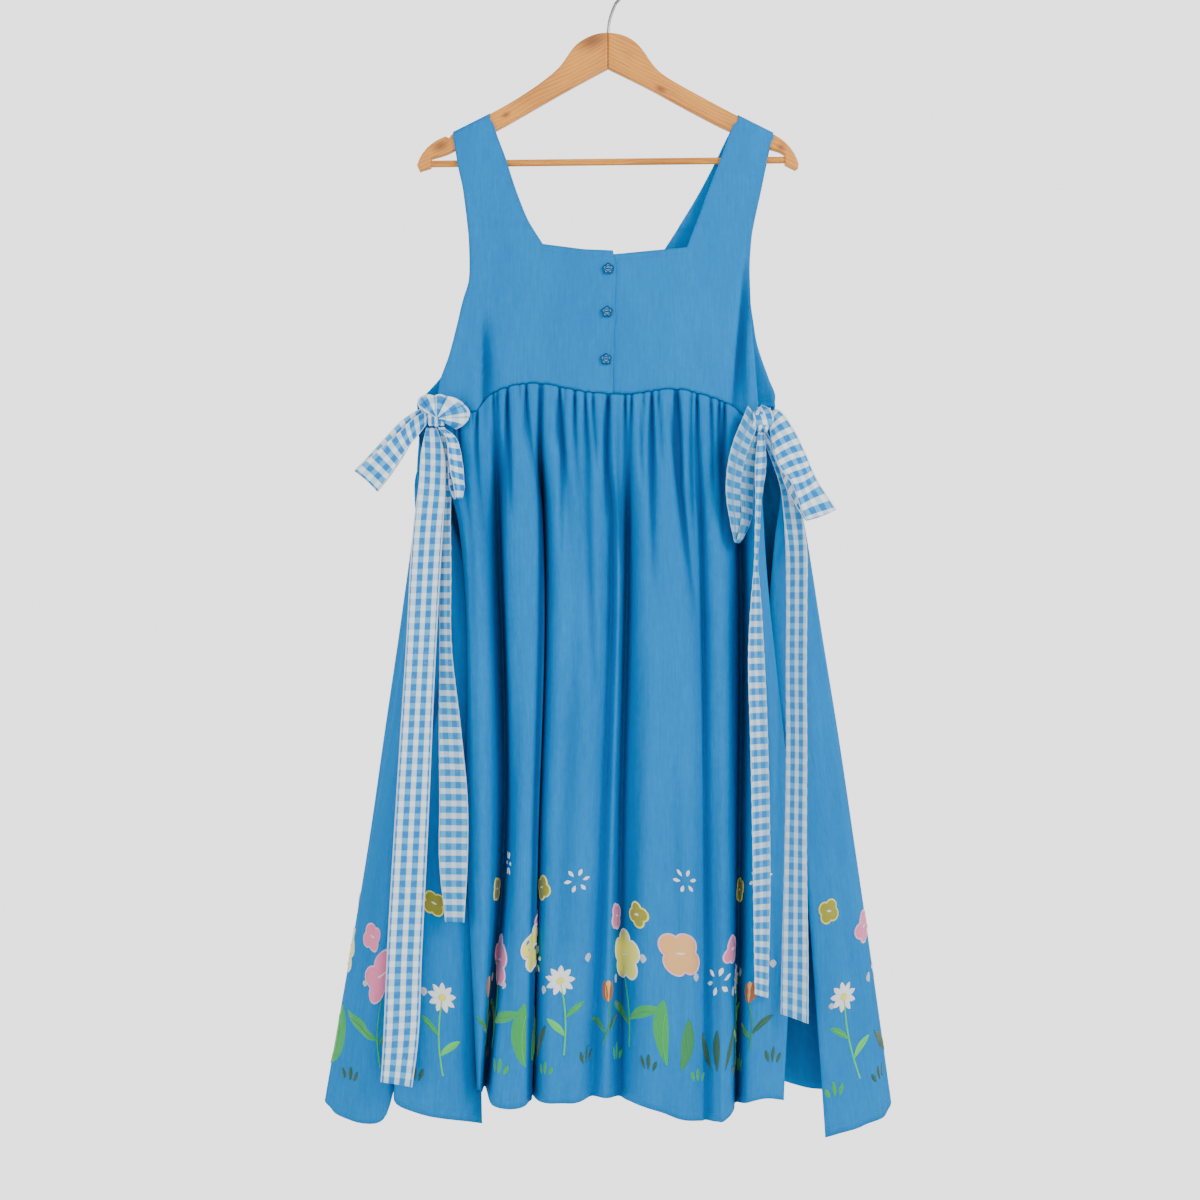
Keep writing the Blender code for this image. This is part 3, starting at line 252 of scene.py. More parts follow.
RIGHT_TAIL_LONG = (
    (174, 539, -24, 181, 539, -23), (187, 570, -18, 199, 568, -18), (197, 600, -19, 215, 597, -19),
    (202, 640, -20, 224, 640, -22), (203, 672, -30, 226, 672, -46), (203, 734, -42, 225, 734, -60),
    (202, 817, -46, 224, 817, -66), (202, 891, -50, 224, 891, -72), (200, 1014, -56, 223, 1014, -77),
    (196, 1153, -60, 225, 1153, -78), (195, 1205, -61, 225, 1213, -78),
)
RIGHT_TAIL_SHORT = (
    (172, 540, -30, 179, 540, -27), (167, 584, -46, 180, 582, -36), (167, 619, -54, 175, 619, -38),
    (166, 654, -58, 173, 655, -39), (165, 688, -62, 171, 688, -42), (161, 734, -65, 174, 734, -45),
    (158, 791, -68, 177, 791, -48), (160, 891, -70, 181, 891, -51), (163, 1058, -73, 184, 1058, -53),
    (165, 1180, -75, 181, 1188, -55),
)
RIGHT_LOOP_LARGE = (
    (185, 518, -27, 185, 534, -27), (193, 515, -38, 187, 554, -38), (210, 536, -46, 194, 580, -44),
    (223, 562, -46, 208, 599, -44), (239, 597, -42, 219, 628, -42), (261, 630, -36, 226, 643, -36),
    (242, 603, -28, 217, 629, -29), (221, 573, -24, 202, 600, -25), (207, 538, -22, 194, 569, -24),
    (190, 514, -20, 188, 538, -21),
)
RIGHT_LOOP_HANGING = (
    (160, 510, -27, 172, 523, -29), (153, 526, -35, 168, 541, -33), (144, 547, -45, 161, 558, -36),
    (136, 575, -51, 154, 583, -39), (133, 606, -53, 151, 610, -40), (137, 640, -52, 152, 642, -42),
    (144, 668, -50, 150, 667, -43), (151, 642, -45, 162, 645, -38), (150, 600, -40, 166, 603, -33),
    (154, 567, -35, 169, 570, -29), (163, 545, -30, 171, 545, -27),
)
# Right ribbon's turn from the garment's corner over the knot
RIGHT_TURN = (
    (171, 511, -21, 176, 509, -20), (167, 516, -28, 181, 511, -26), (165.5, 521, -33, 187, 517, -33),
    (167, 527, -36.5, 189, 524, -37), (171, 532, -35.5, 188, 534, -36),
)
# Parts of a bow besides its ties, with the stations of the left one and of the right one
BOW_PARTS = {"tail_long": (LEFT_TAIL_LONG, RIGHT_TAIL_LONG),
             "tail_short": (LEFT_TAIL_SHORT, RIGHT_TAIL_SHORT),
             "loop_large": (LEFT_LOOP_LARGE, RIGHT_LOOP_LARGE),
             "loop_hanging": (LEFT_LOOP_HANGING, RIGHT_LOOP_HANGING)}
# Knots: centre x, drop and y, width, height and depth of the wrapped core, tilt in degrees. The right
# core is a little fuller than its solid
LEFT_KNOT = (-199.0, 524.0, -27.0, 22.0, 20.0, 13.0, 0.0)
RIGHT_KNOT = (173.0, 527.0, -27.0, 18.0, 23.0, 13.0, 10.0)
RIGHT_CORE = (176.0, 528.0, -27.0, 23.0, 24.0, 14.0, 16.0)
# Tie ends of each side: garment's front corner (x, drop), back corner (x, drop) and the way round between
TIE_CORNERS = ((-190.0, 500.0, -212.0, 492.0, -9.0), (165.0, 506.0, 184.0, 492.0, 8.0))
# How far the tie ends stay clear of the front and of the back
TIE_CLEAR = 1.2
BACK_TIE_CLEAR = 2.8

# Hanger outlines seen from the front, top edge then lower edge: x, drop
LEFT_ARM = ((-1.4, 74.0), (-10.5, 74.4), (-19.8, 76.9), (-30.3, 82.0), (-37.3, 87.0), (-43.5, 93.6),
            (-50.1, 103.7), (-58.5, 115.6), (-80.4, 133.4), (-109.5, 152.6), (-138.7, 169.0),
            (-162.0, 180.6), (-181.8, 190.5), (-186.2, 196.6), (-190.5, 194.6), (-201.6, 199.6),
            (-211.4, 207.2), (-219.2, 217.2), (-223.6, 228.0), (-220.2, 235.4), (-206.8, 231.2),
            (-206.8, 221.6), (-205.4, 220.2), (-199.2, 218.8), (-188.7, 215.6),
            (-179.4, 210.9), (-156.1, 200.2), (-130.5, 187.6), (-109.5, 176.0), (-80.4, 159.1),
            (-39.6, 136.0), (-1.4, 115.6))
RIGHT_ARM = ((-1.1, 74.0), (8.1, 74.7), (18.6, 77.6), (27.9, 82.6), (34.9, 88.6), (41.9, 97.6),
             (47.8, 107.0), (58.0, 119.6), (76.9, 132.0), (123.5, 157.3), (147.9, 170.1),
             (170.1, 181.6), (191.0, 191.7), (202.7, 199.3), (212.0, 208.6), (217.8, 218.4),
             (221.0, 227.0), (220.0, 231.6), (216.6, 233.8), (204.4, 227.6),
             (204.4, 216.9), (203.0, 215.4), (196.9, 212.0), (186.4, 209.2), (164.2, 199.6), (138.6, 187.6),
             (123.5, 180.6), (82.7, 159.0), (45.4, 138.2), (-1.1, 115.6))
# Where the bar enters the arms: x, drop
BAR_ENDS = ((-206.3, 226.1), (203.9, 221.5))

# Finer cloth than the solids have, and the ribbon's full width
CLOTH_THICKNESS = 0.9
RIBBON_THICKNESS = 0.7
RIBBON_WIDTH = 38.0
# Least width that a folded ribbon shows of its checks
RIBBON_FOLDED = 14.0
# Least width of a ribbon's cut, and heights of its lengthwise folds and of its puckered edges
LEAST_CUT = 10.0
RIBBON_FOLD, RIBBON_PUCKER = 0.55, 0.35

# How far the bar goes on into each arm, how far that end laps inside the bar, and how much thinner it is
PLUG_REACH = 3.0
PLUG_LAP = 4.0
PLUG_SLACK = 0.15
# Rounded edge of the hanger's arms from the face back: how far in, and how far from the middle plane
ARM_EDGE = ((2.2, 6.0), (1.0, 5.7), (0.3, 5.0), (0.0, 3.8))
# Corners of an arm's outline that turn more than this stay sharp, in radians
ARM_SHARP = 0.7
# Share of each side that a gentle corner loses when it is cut
CORNER_CUT = 0.25
# Opposite corners of the glue line between the arms
GLUE_LINE = ((-1.5, -5.2, -115.0), (-1.0, 5.2, -75.0))
# Sides of one check, across the ribbon and along it
CHECK_WIDE, CHECK_HIGH = 6.3, 7.0

# Gathers of each panel, and the mesh's columns for one of them
FRONT_GATHERS = 34
BACK_GATHERS = 34
COLUMNS_PER_GATHER = 12
# Row of the panels' mesh, counted from the hem, whose width counts as the cloth's own
WIDTH_ROW = -14
# Shortest gather, and how much longer the longest ones of the front and of the back are
GATHER_LENGTH, FRONT_GATHER_LENGTH, BACK_GATHER_LENGTH = 22.0, 105.0, 90.0
# Gathers' slant, width under the seam, how fast they widen and down to where, and least and further depth
GATHER_LEAN = 0.03
GATHER_WIDTH, GATHER_WIDENING, GATHER_WIDEST_AT = 1.9, 0.030, 130.0
GATHER_DEPTH, GATHER_MORE_DEPTH = 3.2, 4.4
# How far the gathered cloth stands out under the seam
GATHER_LIFT = 1.6
# Faint ripples: height, turns across and down and share of the seed for one wave, and for the wave on it
RIPPLES = ((0.30, 0.071, 0.013, 1, -0.017, 0.021, 2), (0.18, 0.163, -0.031, 3, 0.0, 0.043, 1))
# How much stronger the ripples are on the front skirt, and the height of the back skirt's small waves
SKIRT_RIPPLE = 2.0
BACK_WAVE = 2.2
# How fast a crease fades towards its ends
CREASE_TAPER = 0.6
# Drops between which the bodice's creases and ripples begin
FRONT_CREASES_BEGIN, FRONT_RIPPLES_BEGIN = (240.0, 300.0), (230.0, 300.0)
BACK_CREASES_BEGIN, BACK_RIPPLES_BEGIN = (345.0, 400.0), (345.0, 380.0)
# Depth of the back's creases against the front's
BACK_CREASE_SHARE = 0.6
# Share of the bodice's depth that counts as height where it is laid out flat
DEPTH_LAID_FLAT = 0.6

# Checks that don't run square across a twisted ribbon: how far they slip along it for each step across
SLANTED_CHECKS = {"right_loop_large": 0.85}
# Shares of the ribbon's length between which that slant fades, and how much of it is lost
SLANT_FADES, SLANT_LOST = (0.24, 0.52), 0.85
# Ribbons tucked behind others: shade all over, shade of a lengthwise fold, and the fold's place across
SHADED_RIBBONS = {"right_loop_hanging": (0.48, 0.42, 0.45), "right_tail_long": (0.30, 0.0, 0.5),
                  "right_tail_short": (0.28, 0.30, 0.85), "left_tail_short": (0.36, 0.0, 0.5),
                  "left_tail_long": (0.06, 0.0, 0.5)}
# Width of that fold as a share of the ribbon's
SHADED_FOLD_SHARE = 0.10
# Painted shade: how strongly each kind of hollow darkens the cloth's colour, as a share of its depth
GATHER_SHADE, VALLEY_SHADE, CREASE_SHADE, YOKE_SHADE = 2.0, 0.7, 1.6, 1.7
# Painted shade of the cloth folded under at the yoke's seam, in millimetres of hollow
SEAM_SHADE = 12.0

# Hem: how far its stitches are above the edge, and how far they pull the cloth in
HEM_STITCHES = 11.0
HEM_PINCH = 0.5
# Machine stitches: pitch, length and radius
STITCH_PITCH = 3.0
STITCH_LENGTH = 2.1
STITCH_RADIUS = 0.28
# Rows of the yokes' meshes between which their stitches run
FIRST_STITCHED, LAST_STITCHED = 2, -5
# Satin stitches: places of the columns across a band, and how far its edges sink into the cloth
SATIN_COLUMNS = (-1.0, -0.62, 0.0, 0.62, 1.0)
THREAD_SUNK = 0.1
# Sewn-on patches: share of the outline and height of each ring
PATCH_RINGS = ((0.02, 1.3), (0.35, 1.25), (0.7, 1.1), (0.93, 0.9), (1.0, 0.1))
# Meadow: width of cloth for each tall flower, what stays free at the sides, and one seed for each panel
MEADOW_STEP = 62.0
MEADOW_FREE = 24.0
MEADOW_SEEDS = {"front_panel": 3, "back_panel": 6}

# Creases of the front skirt: x at its top and bottom, drop of its top and bottom, width, depth
SKIRT_CREASES = (
    (-117.5, -112.0, 492, 640, 3.0, 3.0), (-100.0, -97.0, 492, 560, 3.0, 2.4),
    (-79.5, -80.0, 500, 620, 3.2, 4.0), (-61.0, -60.0, 496, 560, 2.8, 3.0),
    (-54.0, -56.0, 500, 690, 4.0, 3.2), (-29.0, -16.0, 505, 860, 6.0, 4.2),
    (-18.0, -14.0, 497, 585, 2.8, 3.2), (-6.0, -3.0, 498, 640, 3.0, 3.6),
    (9.0, 12.0, 500, 700, 3.4, 3.4), (35.5, 38.0, 500, 600, 3.0, 3.6),
    (47.0, 50.0, 498, 720, 4.0, 3.4), (58.5, 61.0, 494, 580, 2.8, 3.2),
    (68.0, 99.0, 494, 760, 4.5, 4.6), (81.6, 84.0, 492, 600, 3.0, 3.2),
    (93.0, 97.0, 494, 660, 3.2, 3.8), (118.0, 121.0, 498, 610, 3.0, 3.4),
    (130.0, 131.0, 502, 680, 3.6, 3.0), (-38.0, -60.0, 760, 1240, 12.0, 3.0),
    (40.0, 22.0, 720, 1280, 13.0, 3.4), (75.0, 84.0, 830, 1290, 10.0, 2.6),
    (-100.0, -118.0, 760, 1290, 7.0, 3.0), (122.0, 124.0, 800, 1300, 8.0, 2.6),
)
# Rows of the seam allowance inside the waist: how far in, and how far below the seam
SEAM_ALLOWANCE = ((1.2, 0.1), (5.0, 6.0))

# Facets of the left bow's pleated fan: angles of their edges in degrees; and its outline: angle, radius
FAN_EDGES = (-30.0, 4.0, 28.0, 69.0, 97.0, 128.0, 152.0)
FAN_OUTLINE = ((-30, 24), (-12, 31), (4, 37), (28, 35), (48, 31), (69, 28), (83, 28), (97, 27), (115, 30),
               (135, 31), (152, 22))
# Its mesh, and how far it bulges as a whole, at each lap and in each pleat
PLEAT_COLUMNS, FAN_ROWS = 26, 24
FAN_WALL, FAN_DOME, FAN_LAP, FAN_BULGE = 2.0, 9.0, 3.4, 1.4
# Radius at which the fan's checks have their true width
FAN_CHECK_RADIUS = 14.0
# Painted shade in the folds between its pleats
PLEAT_SHADE = 0.6
# Squareness of the knots' ends
CORE_SQUARENESS = 3.2

# Main valleys of the front skirt: fold, depth, width to its left and right, drop below the seam of their
# beginning and of their full depth
DEEP_VALLEYS = (
    ("deep_valley", 12.0, 4.5, 6.5, 10.0, 120.0), ("lapped_valley", 13.0, 3.0, 6.0, 30.0, 140.0),
    ("shallow_valley", 3.0, 5.0, 8.0, 60.0, 160.0), ("middle_valley", 8.0, 9.0, 4.0, 50.0, 170.0),
    ("crease", 5.0, 2.4, 7.0, 10.0, 150.0), ("black_valley", 12.0, 5.5, 6.5, 20.0, 110.0),
    ("narrow_ridge_left", 3.0, 6.0, 6.0, 60.0, 200.0),
)
# Creases of the bodice: x and drop of one end, x and drop of the other, width to the left, depth, width
# to the right
BODICE_CREASES = (
    (-146.0, 395.0, -145.5, 530.0, 2.2, 5.0, 13.0), (159.0, 330.0, 141.0, 540.0, 3.0, 6.5, 14.0),
    (163.0, 410.0, 163.0, 540.0, 3.0, -2.5, 3.0), (-60.0, 350.0, -75.0, 470.0, 22.0, 1.6, 22.0),
    (52.0, 345.0, 66.0, 480.0, 24.0, 1.5, 24.0), (-120.0, 300.0, -142.0, 400.0, 10.0, 1.4, 10.0),
    (-30.0, 380.0, -36.0, 490.0, 12.0, 1.1, 12.0), (100.0, 420.0, 110.0, 500.0, 12.0, 1.4, 12.0),
    (10.0, 372.0, 34.0, 382.0, 7.0, 0.6, 7.0), (10.0, 425.0, 30.0, 436.0, 7.0, 0.6, 7.0),
    (-172.0, 340.0, -158.0, 400.0, 6.0, 1.0, 6.0), (-46.0, 322.0, -12.0, 338.0, 9.0, 0.7, 9.0),
    (14.0, 336.0, 60.0, 324.0, 9.0, 0.8, 9.0), (-44.0, 470.0, -38.0, 512.0, 5.0, 0.8, 5.0),
    (72.0, 470.0, 76.0, 512.0, 5.0, 0.8, 5.0),
)

# Colours, linear red, green and blue
BODY_BLUE = (0.0, 0.150, 0.420)
BODY_PALE = (0.0, 0.240, 0.610)
CHECK_SHADE = (0.03, 0.22, 0.42)
# Painted shade: the deep blue that the dress's colour darkens to in its hollows
PAINTED_SHADE_BLUE = (0.000, 0.012, 0.100)
CHECK_WHITE = (0.820, 0.880, 0.900)
CHECK_PALE = (0.460, 0.680, 0.820)
CHECK_LIGHT = (0.070, 0.400, 0.760)
CHECK_BLUE = (0.000, 0.185, 0.560)
PINK = (0.860, 0.190, 0.380)
DEEP_PINK = (0.800, 0.090, 0.260)
PALE_PINK = (0.900, 0.500, 0.660)
CREAM_YELLOW = (0.900, 0.840, 0.120)
PEACH = (0.860, 0.440, 0.140)
MUSTARD = (0.320, 0.300, 0.005)
OCHRE = (0.360, 0.100, 0.010)
WHITE = (0.900, 0.900, 0.900)
SILVER = (0.50, 0.56, 0.62)
BRIGHT_GREEN = (0.000, 0.350, 0.060)
MID_GREEN = (0.000, 0.220, 0.050)
DARK_GREEN = (0.000, 0.075, 0.030)
LIGHT_GREEN = (0.070, 0.640, 0.090)
SEWING_BLUE = (0.0, 0.16, 0.42)
SHEEN_BLUE = (0.10, 0.55, 1.0, 1.0)
BUTTON_BLUES = ((0.02, 0.16, 0.36), (0.07, 0.27, 0.48))
RIM_BLUES = ((0.0, 0.02, 0.08), (0.003, 0.05, 0.15))
STEEL_GREYS = ((0.26, 0.26, 0.27), (0.15, 0.15, 0.16))
FLOOR_GREYS = ((0.80, 0.80, 0.81), (0.84, 0.84, 0.84))
# Dark and light of the satin threads: painted sheen in stripes, with random fuzz in their tone
THREAD_GREYS = ((0.66, 0.66, 0.66), (1.0, 1.0, 1.0))
GLUE_BROWN = (0.20, 0.07, 0.02)
KNOT_BROWN = (0.15, 0.040, 0.010)
# Wood from its darkest to its palest grain
WOOD_STOPS = ((0.0, (0.20, 0.055, 0.008)), (0.25, (0.46, 0.155, 0.016)),
              (0.55, (0.74, 0.290, 0.030)), (1.0, (0.88, 0.420, 0.065)))
# Darker knots in the arms: x, drop, reach
WOOD_KNOTS = {"left": ((-20.0, 84.0, 15.0), (-196.0, 206.0, 9.0), (-120.0, 170.0, 5.0)),
              "right": ((60.0, 140.0, 6.0), (200.0, 208.0, 5.0))}
# Pitch of the threads in the dress, the ribbons and the satin stitches, in metres
WEAVE_PITCH, RIBBON_WEAVE_PITCH, SATIN_PITCH = 0.0009, 0.0011, 0.00075
# Painted shade in the dress's hollows: hollow at which the colour begins to darken and at which it is
# darkest, in millimetres, and how dark it gets
HOLLOW_RANGE, PAINTED_SHADE_SHARE = (1.0, 12.0), 0.74
# Checks: how ragged their edges are, where a band ends, and where the pale selvedge begins
CHECK_FRAY, CHECK_EDGE, SELVEDGE = 0.10, (0.295, 0.250), (0.90, 0.96)

# Studio and camera, in metres
FLOOR_RADIUS = 1.0
FLOOR_HEIGHT = -1.75
# Camera: its x and height, its distance, and half the width that it sees at the hanger
VIEW_X, VIEW_HEIGHT, VIEW_DISTANCE, VIEW_HALF = -0.0105, -0.734, 2.6, 0.699
# Height of the direction (0 straight down, 0.5 level, 1 straight up) and the light that comes from there
WORLD_STOPS = ((0.0, (0.25, 0.25, 0.25)), (0.30, (0.40, 0.40, 0.40)), (0.36, (1.0, 1.0, 1.0)),
               (0.64, (1.0, 1.0, 1.0)), (0.72, (0.25, 0.25, 0.25)), (1.0, (0.22, 0.22, 0.22)))
WORLD_STRENGTH = 2.4
# Point that the lamps are aimed at; and each lamp's name, place, size and power in watts
AIM = (0.0, 0.0, -0.70)
LAMPS = (("key", (1.7, -1.8, 0.7), 1.0, 40.0), ("fill", (-2.2, -1.6, -0.3), 1.6, 6.0),
         ("back", (-1.2, 2.2, 0.6), 1.2, 26.0))


def through(table, at, column=1):
    """A smooth curve through a table's first column and the named one, read at a value or an array."""
    knots = np.array([row[0] for row in table], float)
    values = np.array([row[column] for row in table], float)
    steps = np.diff(knots)
    slopes = np.diff(values) / steps
    tangents = np.empty_like(values)
    tangents[0] = slopes[0]
    tangents[-1] = slopes[-1]
    tangents[1:-1] = (slopes[:-1] * steps[1:] + slopes[1:] * steps[:-1]) / (steps[:-1] + steps[1:])
    at = np.clip(np.asarray(at, float), knots[0], knots[-1])
    cell = np.clip(np.searchsorted(knots, at) - 1, 0, len(steps) - 1)
    part = (at - knots[cell]) / steps[cell]
    a = (1 + 2 * part) * (1 - part) ** 2
    b = part * (1 - part) ** 2
    c = part**2 * (3 - 2 * part)
    d = part**2 * (part - 1)
    return (a * values[cell] + b * steps[cell] * tangents[cell]
            + c * values[cell + 1] + d * steps[cell] * tangents[cell + 1])


def straight(table, at, column=1):
    return np.interp(at, [row[0] for row in table], [row[column] for row in table])


def smoothstep(value, low, high):
    part = np.clip((value - low) / (high - low), 0.0, 1.0)
    return part * part * (3 - 2 * part)


def front_depth(x, drop):
    """The front's distance before the hanger's middle plane, with the two folds at its sides."""
    across = np.clip((x - FRONT_MIDDLE) / FRONT_HALF, -1.0, 1.0)
    rise = np.where(drop > BULGE_TOP, 1.0 - across**2, 0.0)
    depth = straight(FRONT_DEPTH, drop, 1) + straight(FRONT_DEPTH, drop, 2) * rise
    low = smoothstep(drop, SIDE_FOLDS_FROM, SIDE_FOLDS_TO)
    tuck = smoothstep(x, TUCK_X - TUCK_STEP, TUCK_X) * np.exp(-np.maximum(x - TUCK_X, 0.0) / TUCK_RUN)
    ledge = np.exp(-(((x - LEDGE_X) / LEDGE_WIDTH) ** 2))
    turned = np.exp(-(((x - TURNED_X) / TURNED_WIDTH) ** 2))
    return depth - low * (TUCK_DEPTH * tuck - LEDGE_HEIGHT * ledge + TURNED_DEPTH * turned)


def back_depth(x, drop):
    across = np.clip((x - BACK_MIDDLE) / BACK_HALF, -1.0, 1.0)
    rise = np.where(drop > BULGE_TOP, np.sqrt(1.0 - across**2), 0.0)
    return straight(BACK_DEPTH, drop, 1) + straight(BACK_DEPTH, drop, 2) * rise


def back_seam(x):
    return BACK_SEAM + BACK_SEAM_SAG * ((x - BACK_MIDDLE) / BACK_HALF) ** 2


def arm_top(x):
    """Drop of the hanger's top edge where the straps cross it."""
    return ARM_TOP_DROP + ARM_SLOPE * (abs(x) - ARM_TOP_X) - (0.0 if x < 0 else RIGHT_ARM_RISE)


def strap_rows(outer, inner, columns, face, neck, rows_down):
    """Rows of one strap, over the arm and down to the neckline, for columns from 0 outside to 1 inside.

    face is -1 for the front and +1 for the back; neck gives the drop of the last row for each column.
    """
    rows = []
    for degrees in STRAP_BEND_TURNS:
        turn = math.radians(degrees)
        row = []
        for part in columns:
            x = outer[0][1] + (inner[0][1] - outer[0][1]) * part
            rise = max(0.0, math.cos(turn)) ** STRAP_BEND_SQUARENESS
            out = math.sin(turn) ** STRAP_BEND_SQUARENESS
            drop = arm_top(x) + STRAP_BEND_DROP - STRAP_BEND_RADIUS * rise
            row.append((x, drop, face * STRAP_BEND_RADIUS * out))
        rows.append(row)
    start = rows[-1]
    for step in range(1, rows_down + 1):
        share = step / rows_down
        row = []
        for part, (_, first, _) in zip(columns, start):
            drop = first + (neck(part) - first) * share
            x = through(outer, drop) * (1 - part) + through(inner, drop) * part
            depth = front_depth(x, drop) if face < 0 else back_depth(x, drop)
            row.append((float(x), float(drop), face * float(depth)))
        rows.append(row)
    return rows


def skirt_level(values, drop):
    """A fold's value at a height, from its values at the four levels."""
    return float(through(list(zip(LEVELS, values)), drop))


def puff(below):
    """The swell of the cloth just under the waist seam."""
    return PUFF * math.sin(math.pi * min(1.0, below / PUFF_LENGTH))


def lower_edge(left_bottom, right_bottom, at):
    """Drop of the front bodice's lower edge, the lower one of the two halves where they lap."""
    left = np.interp(at, *zip(*left_bottom), right=0.0)
    right = np.interp(at, *zip(*right_bottom), left=0.0)
    return np.maximum(left, right)


def hidden_folds():
    """Ridges and valleys of the back skirt between its two sides, by the same rule as those that show."""
    first, last = BACK_LEFT_FOLDS[-1], BACK_RIGHT_FOLDS[0]
    folds = []
    total = 2 * BACK_HIDDEN_FOLDS + 1
    for index in range(1, total):
        share = index / total
        wander = 0.2 * math.sin(index * 2.1) / total
        angles = [first[k] + (last[k] - first[k]) * (share + wander) for k in range(1, 5)]
        angles[0] = first[1] + (last[1] - first[1]) * share
        relief = BACK_HIDDEN_RELIEF[index % 2] * (0.85 + 0.25 * math.cos(index * 1.3))
        folds.append(("back_%d" % index, *angles, relief, BACK_HIDDEN_HEM + 4.0 * math.sin(index * 1.9)))
    return folds


def grid_object(name, places, flat, look, wall, kept=None, turned=False, marks=()):
    """Rows of points made a sheet of cloth, with its flat places in metres as a UV map."""
    rows, columns = places.shape[:2]
    quads = grid_quads(rows, columns)
    if kept is not None:
        quads = quads[kept]
    quads = quads.reshape(-1, 4)
    if turned:
        quads = quads[:, ::-1]
    used, faces = np.unique(quads, return_inverse=True)
    mesh = mesh_of(name, places.reshape(-1, 3)[used], faces.reshape(-1, 4).tolist())
    lay_flat(mesh, flat.reshape(-1, 2)[used])
    for mark, values in dict(marks).items():
        layer = mesh.attributes.new(mark, "FLOAT", "POINT")
        layer.data.foreach_set("value", values.reshape(-1)[used].astype(np.float32))
    made = add_piece(name, mesh, look)
    if wall:
        solid = made.modifiers.new("Wall", "SOLIDIFY")
        solid.thickness = wall * MM
        solid.offset = 0.0
        solid.use_even_offset = False
    return made


def grid_quads(rows, columns):
    """The corners of each cell of a grid of points, cell by cell."""
    index = np.arange(rows * columns).reshape(rows, columns)
    return np.stack([index[:-1, :-1], index[1:, :-1], index[1:, 1:], index[:-1, 1:]], axis=-1)


def mesh_of(name, places, faces, smooth=True):
    """A mesh from places in millimetres."""
    mesh = bpy.data.meshes.new(name)
    mesh.from_pydata((np.asarray(places) * MM).tolist(), [], faces)
    if smooth:
        mesh.shade_smooth()
    return mesh


def turned_about(places, first, second, angle):
    """The places turned by an angle from one axis (0 is x, 1 y, 2 z) towards another."""
    made = places.copy()
    made[..., first] = places[..., first] * math.cos(angle) - places[..., second] * math.sin(angle)
    made[..., second] = places[..., first] * math.sin(angle) + places[..., second] * math.cos(angle)
    return made


def lay_flat(mesh, flat):
    layer = mesh.uv_layers.new(name="flat")
    corner = np.empty(len(mesh.loops), np.int32)
    mesh.loops.foreach_get("vertex_index", corner)
    layer.data.foreach_set("uv", (flat[corner] * MM).astype(np.float32).ravel())


def add_object(name, data):
    made = bpy.data.objects.new(name, data)
    bpy.context.scene.collection.objects.link(made)
    return made


def add_piece(name, mesh, look):
    if not mesh.materials:
        mesh.materials.append(look)
    return add_object(name, mesh)


def seam_allowance(places, inward):
    """The rows of a piece with its turned-in seam allowance added below the last one."""
    extra = [places[-1] + np.array([0.0, inward * turn, -drop]) for turn, drop in SEAM_ALLOWANCE]
    return np.concatenate([places, np.array(extra)])


def up(places):
    """Points as x, y and height, from x, drop and y."""
    places = np.asarray(places, float)
    return np.stack([places[..., 0], places[..., 2], -places[..., 1]], axis=-1)


def creases(table, x, drop):
    """How far the straight creases of a table push the cloth in, each with its own length and depth."""
    total = np.zeros_like(x)
    for first_x, first_drop, last_x, last_drop, width, depth, far_width in table:
        share = np.clip((drop - first_drop) / (last_drop - first_drop), 0.0, 1.0)
        away = x - (first_x + (last_x - first_x) * share)
        taper = np.sin(np.pi * share) ** CREASE_TAPER
        total += depth * taper * np.exp(-((away / np.where(away < 0.0, width, far_width)) ** 2))
    return total


def skirt_creases(x, drop):
    rows = [(top_x, top, foot_x, foot, width, depth, width)
            for top_x, foot_x, top, foot, width, depth in SKIRT_CREASES]
    return creases(rows, x, drop)


def ripple(x, drop, seed):
    """Faint unevenness of hanging cloth, longer down than across."""
    total = 0.0
    for height, across, down, shift, far_across, far_down, far_shift in RIPPLES:
        near = np.sin(x * across + drop * down + shift * seed)
        total = total + height * near * np.sin(x * far_across + drop * far_down + far_shift * seed)
    return total


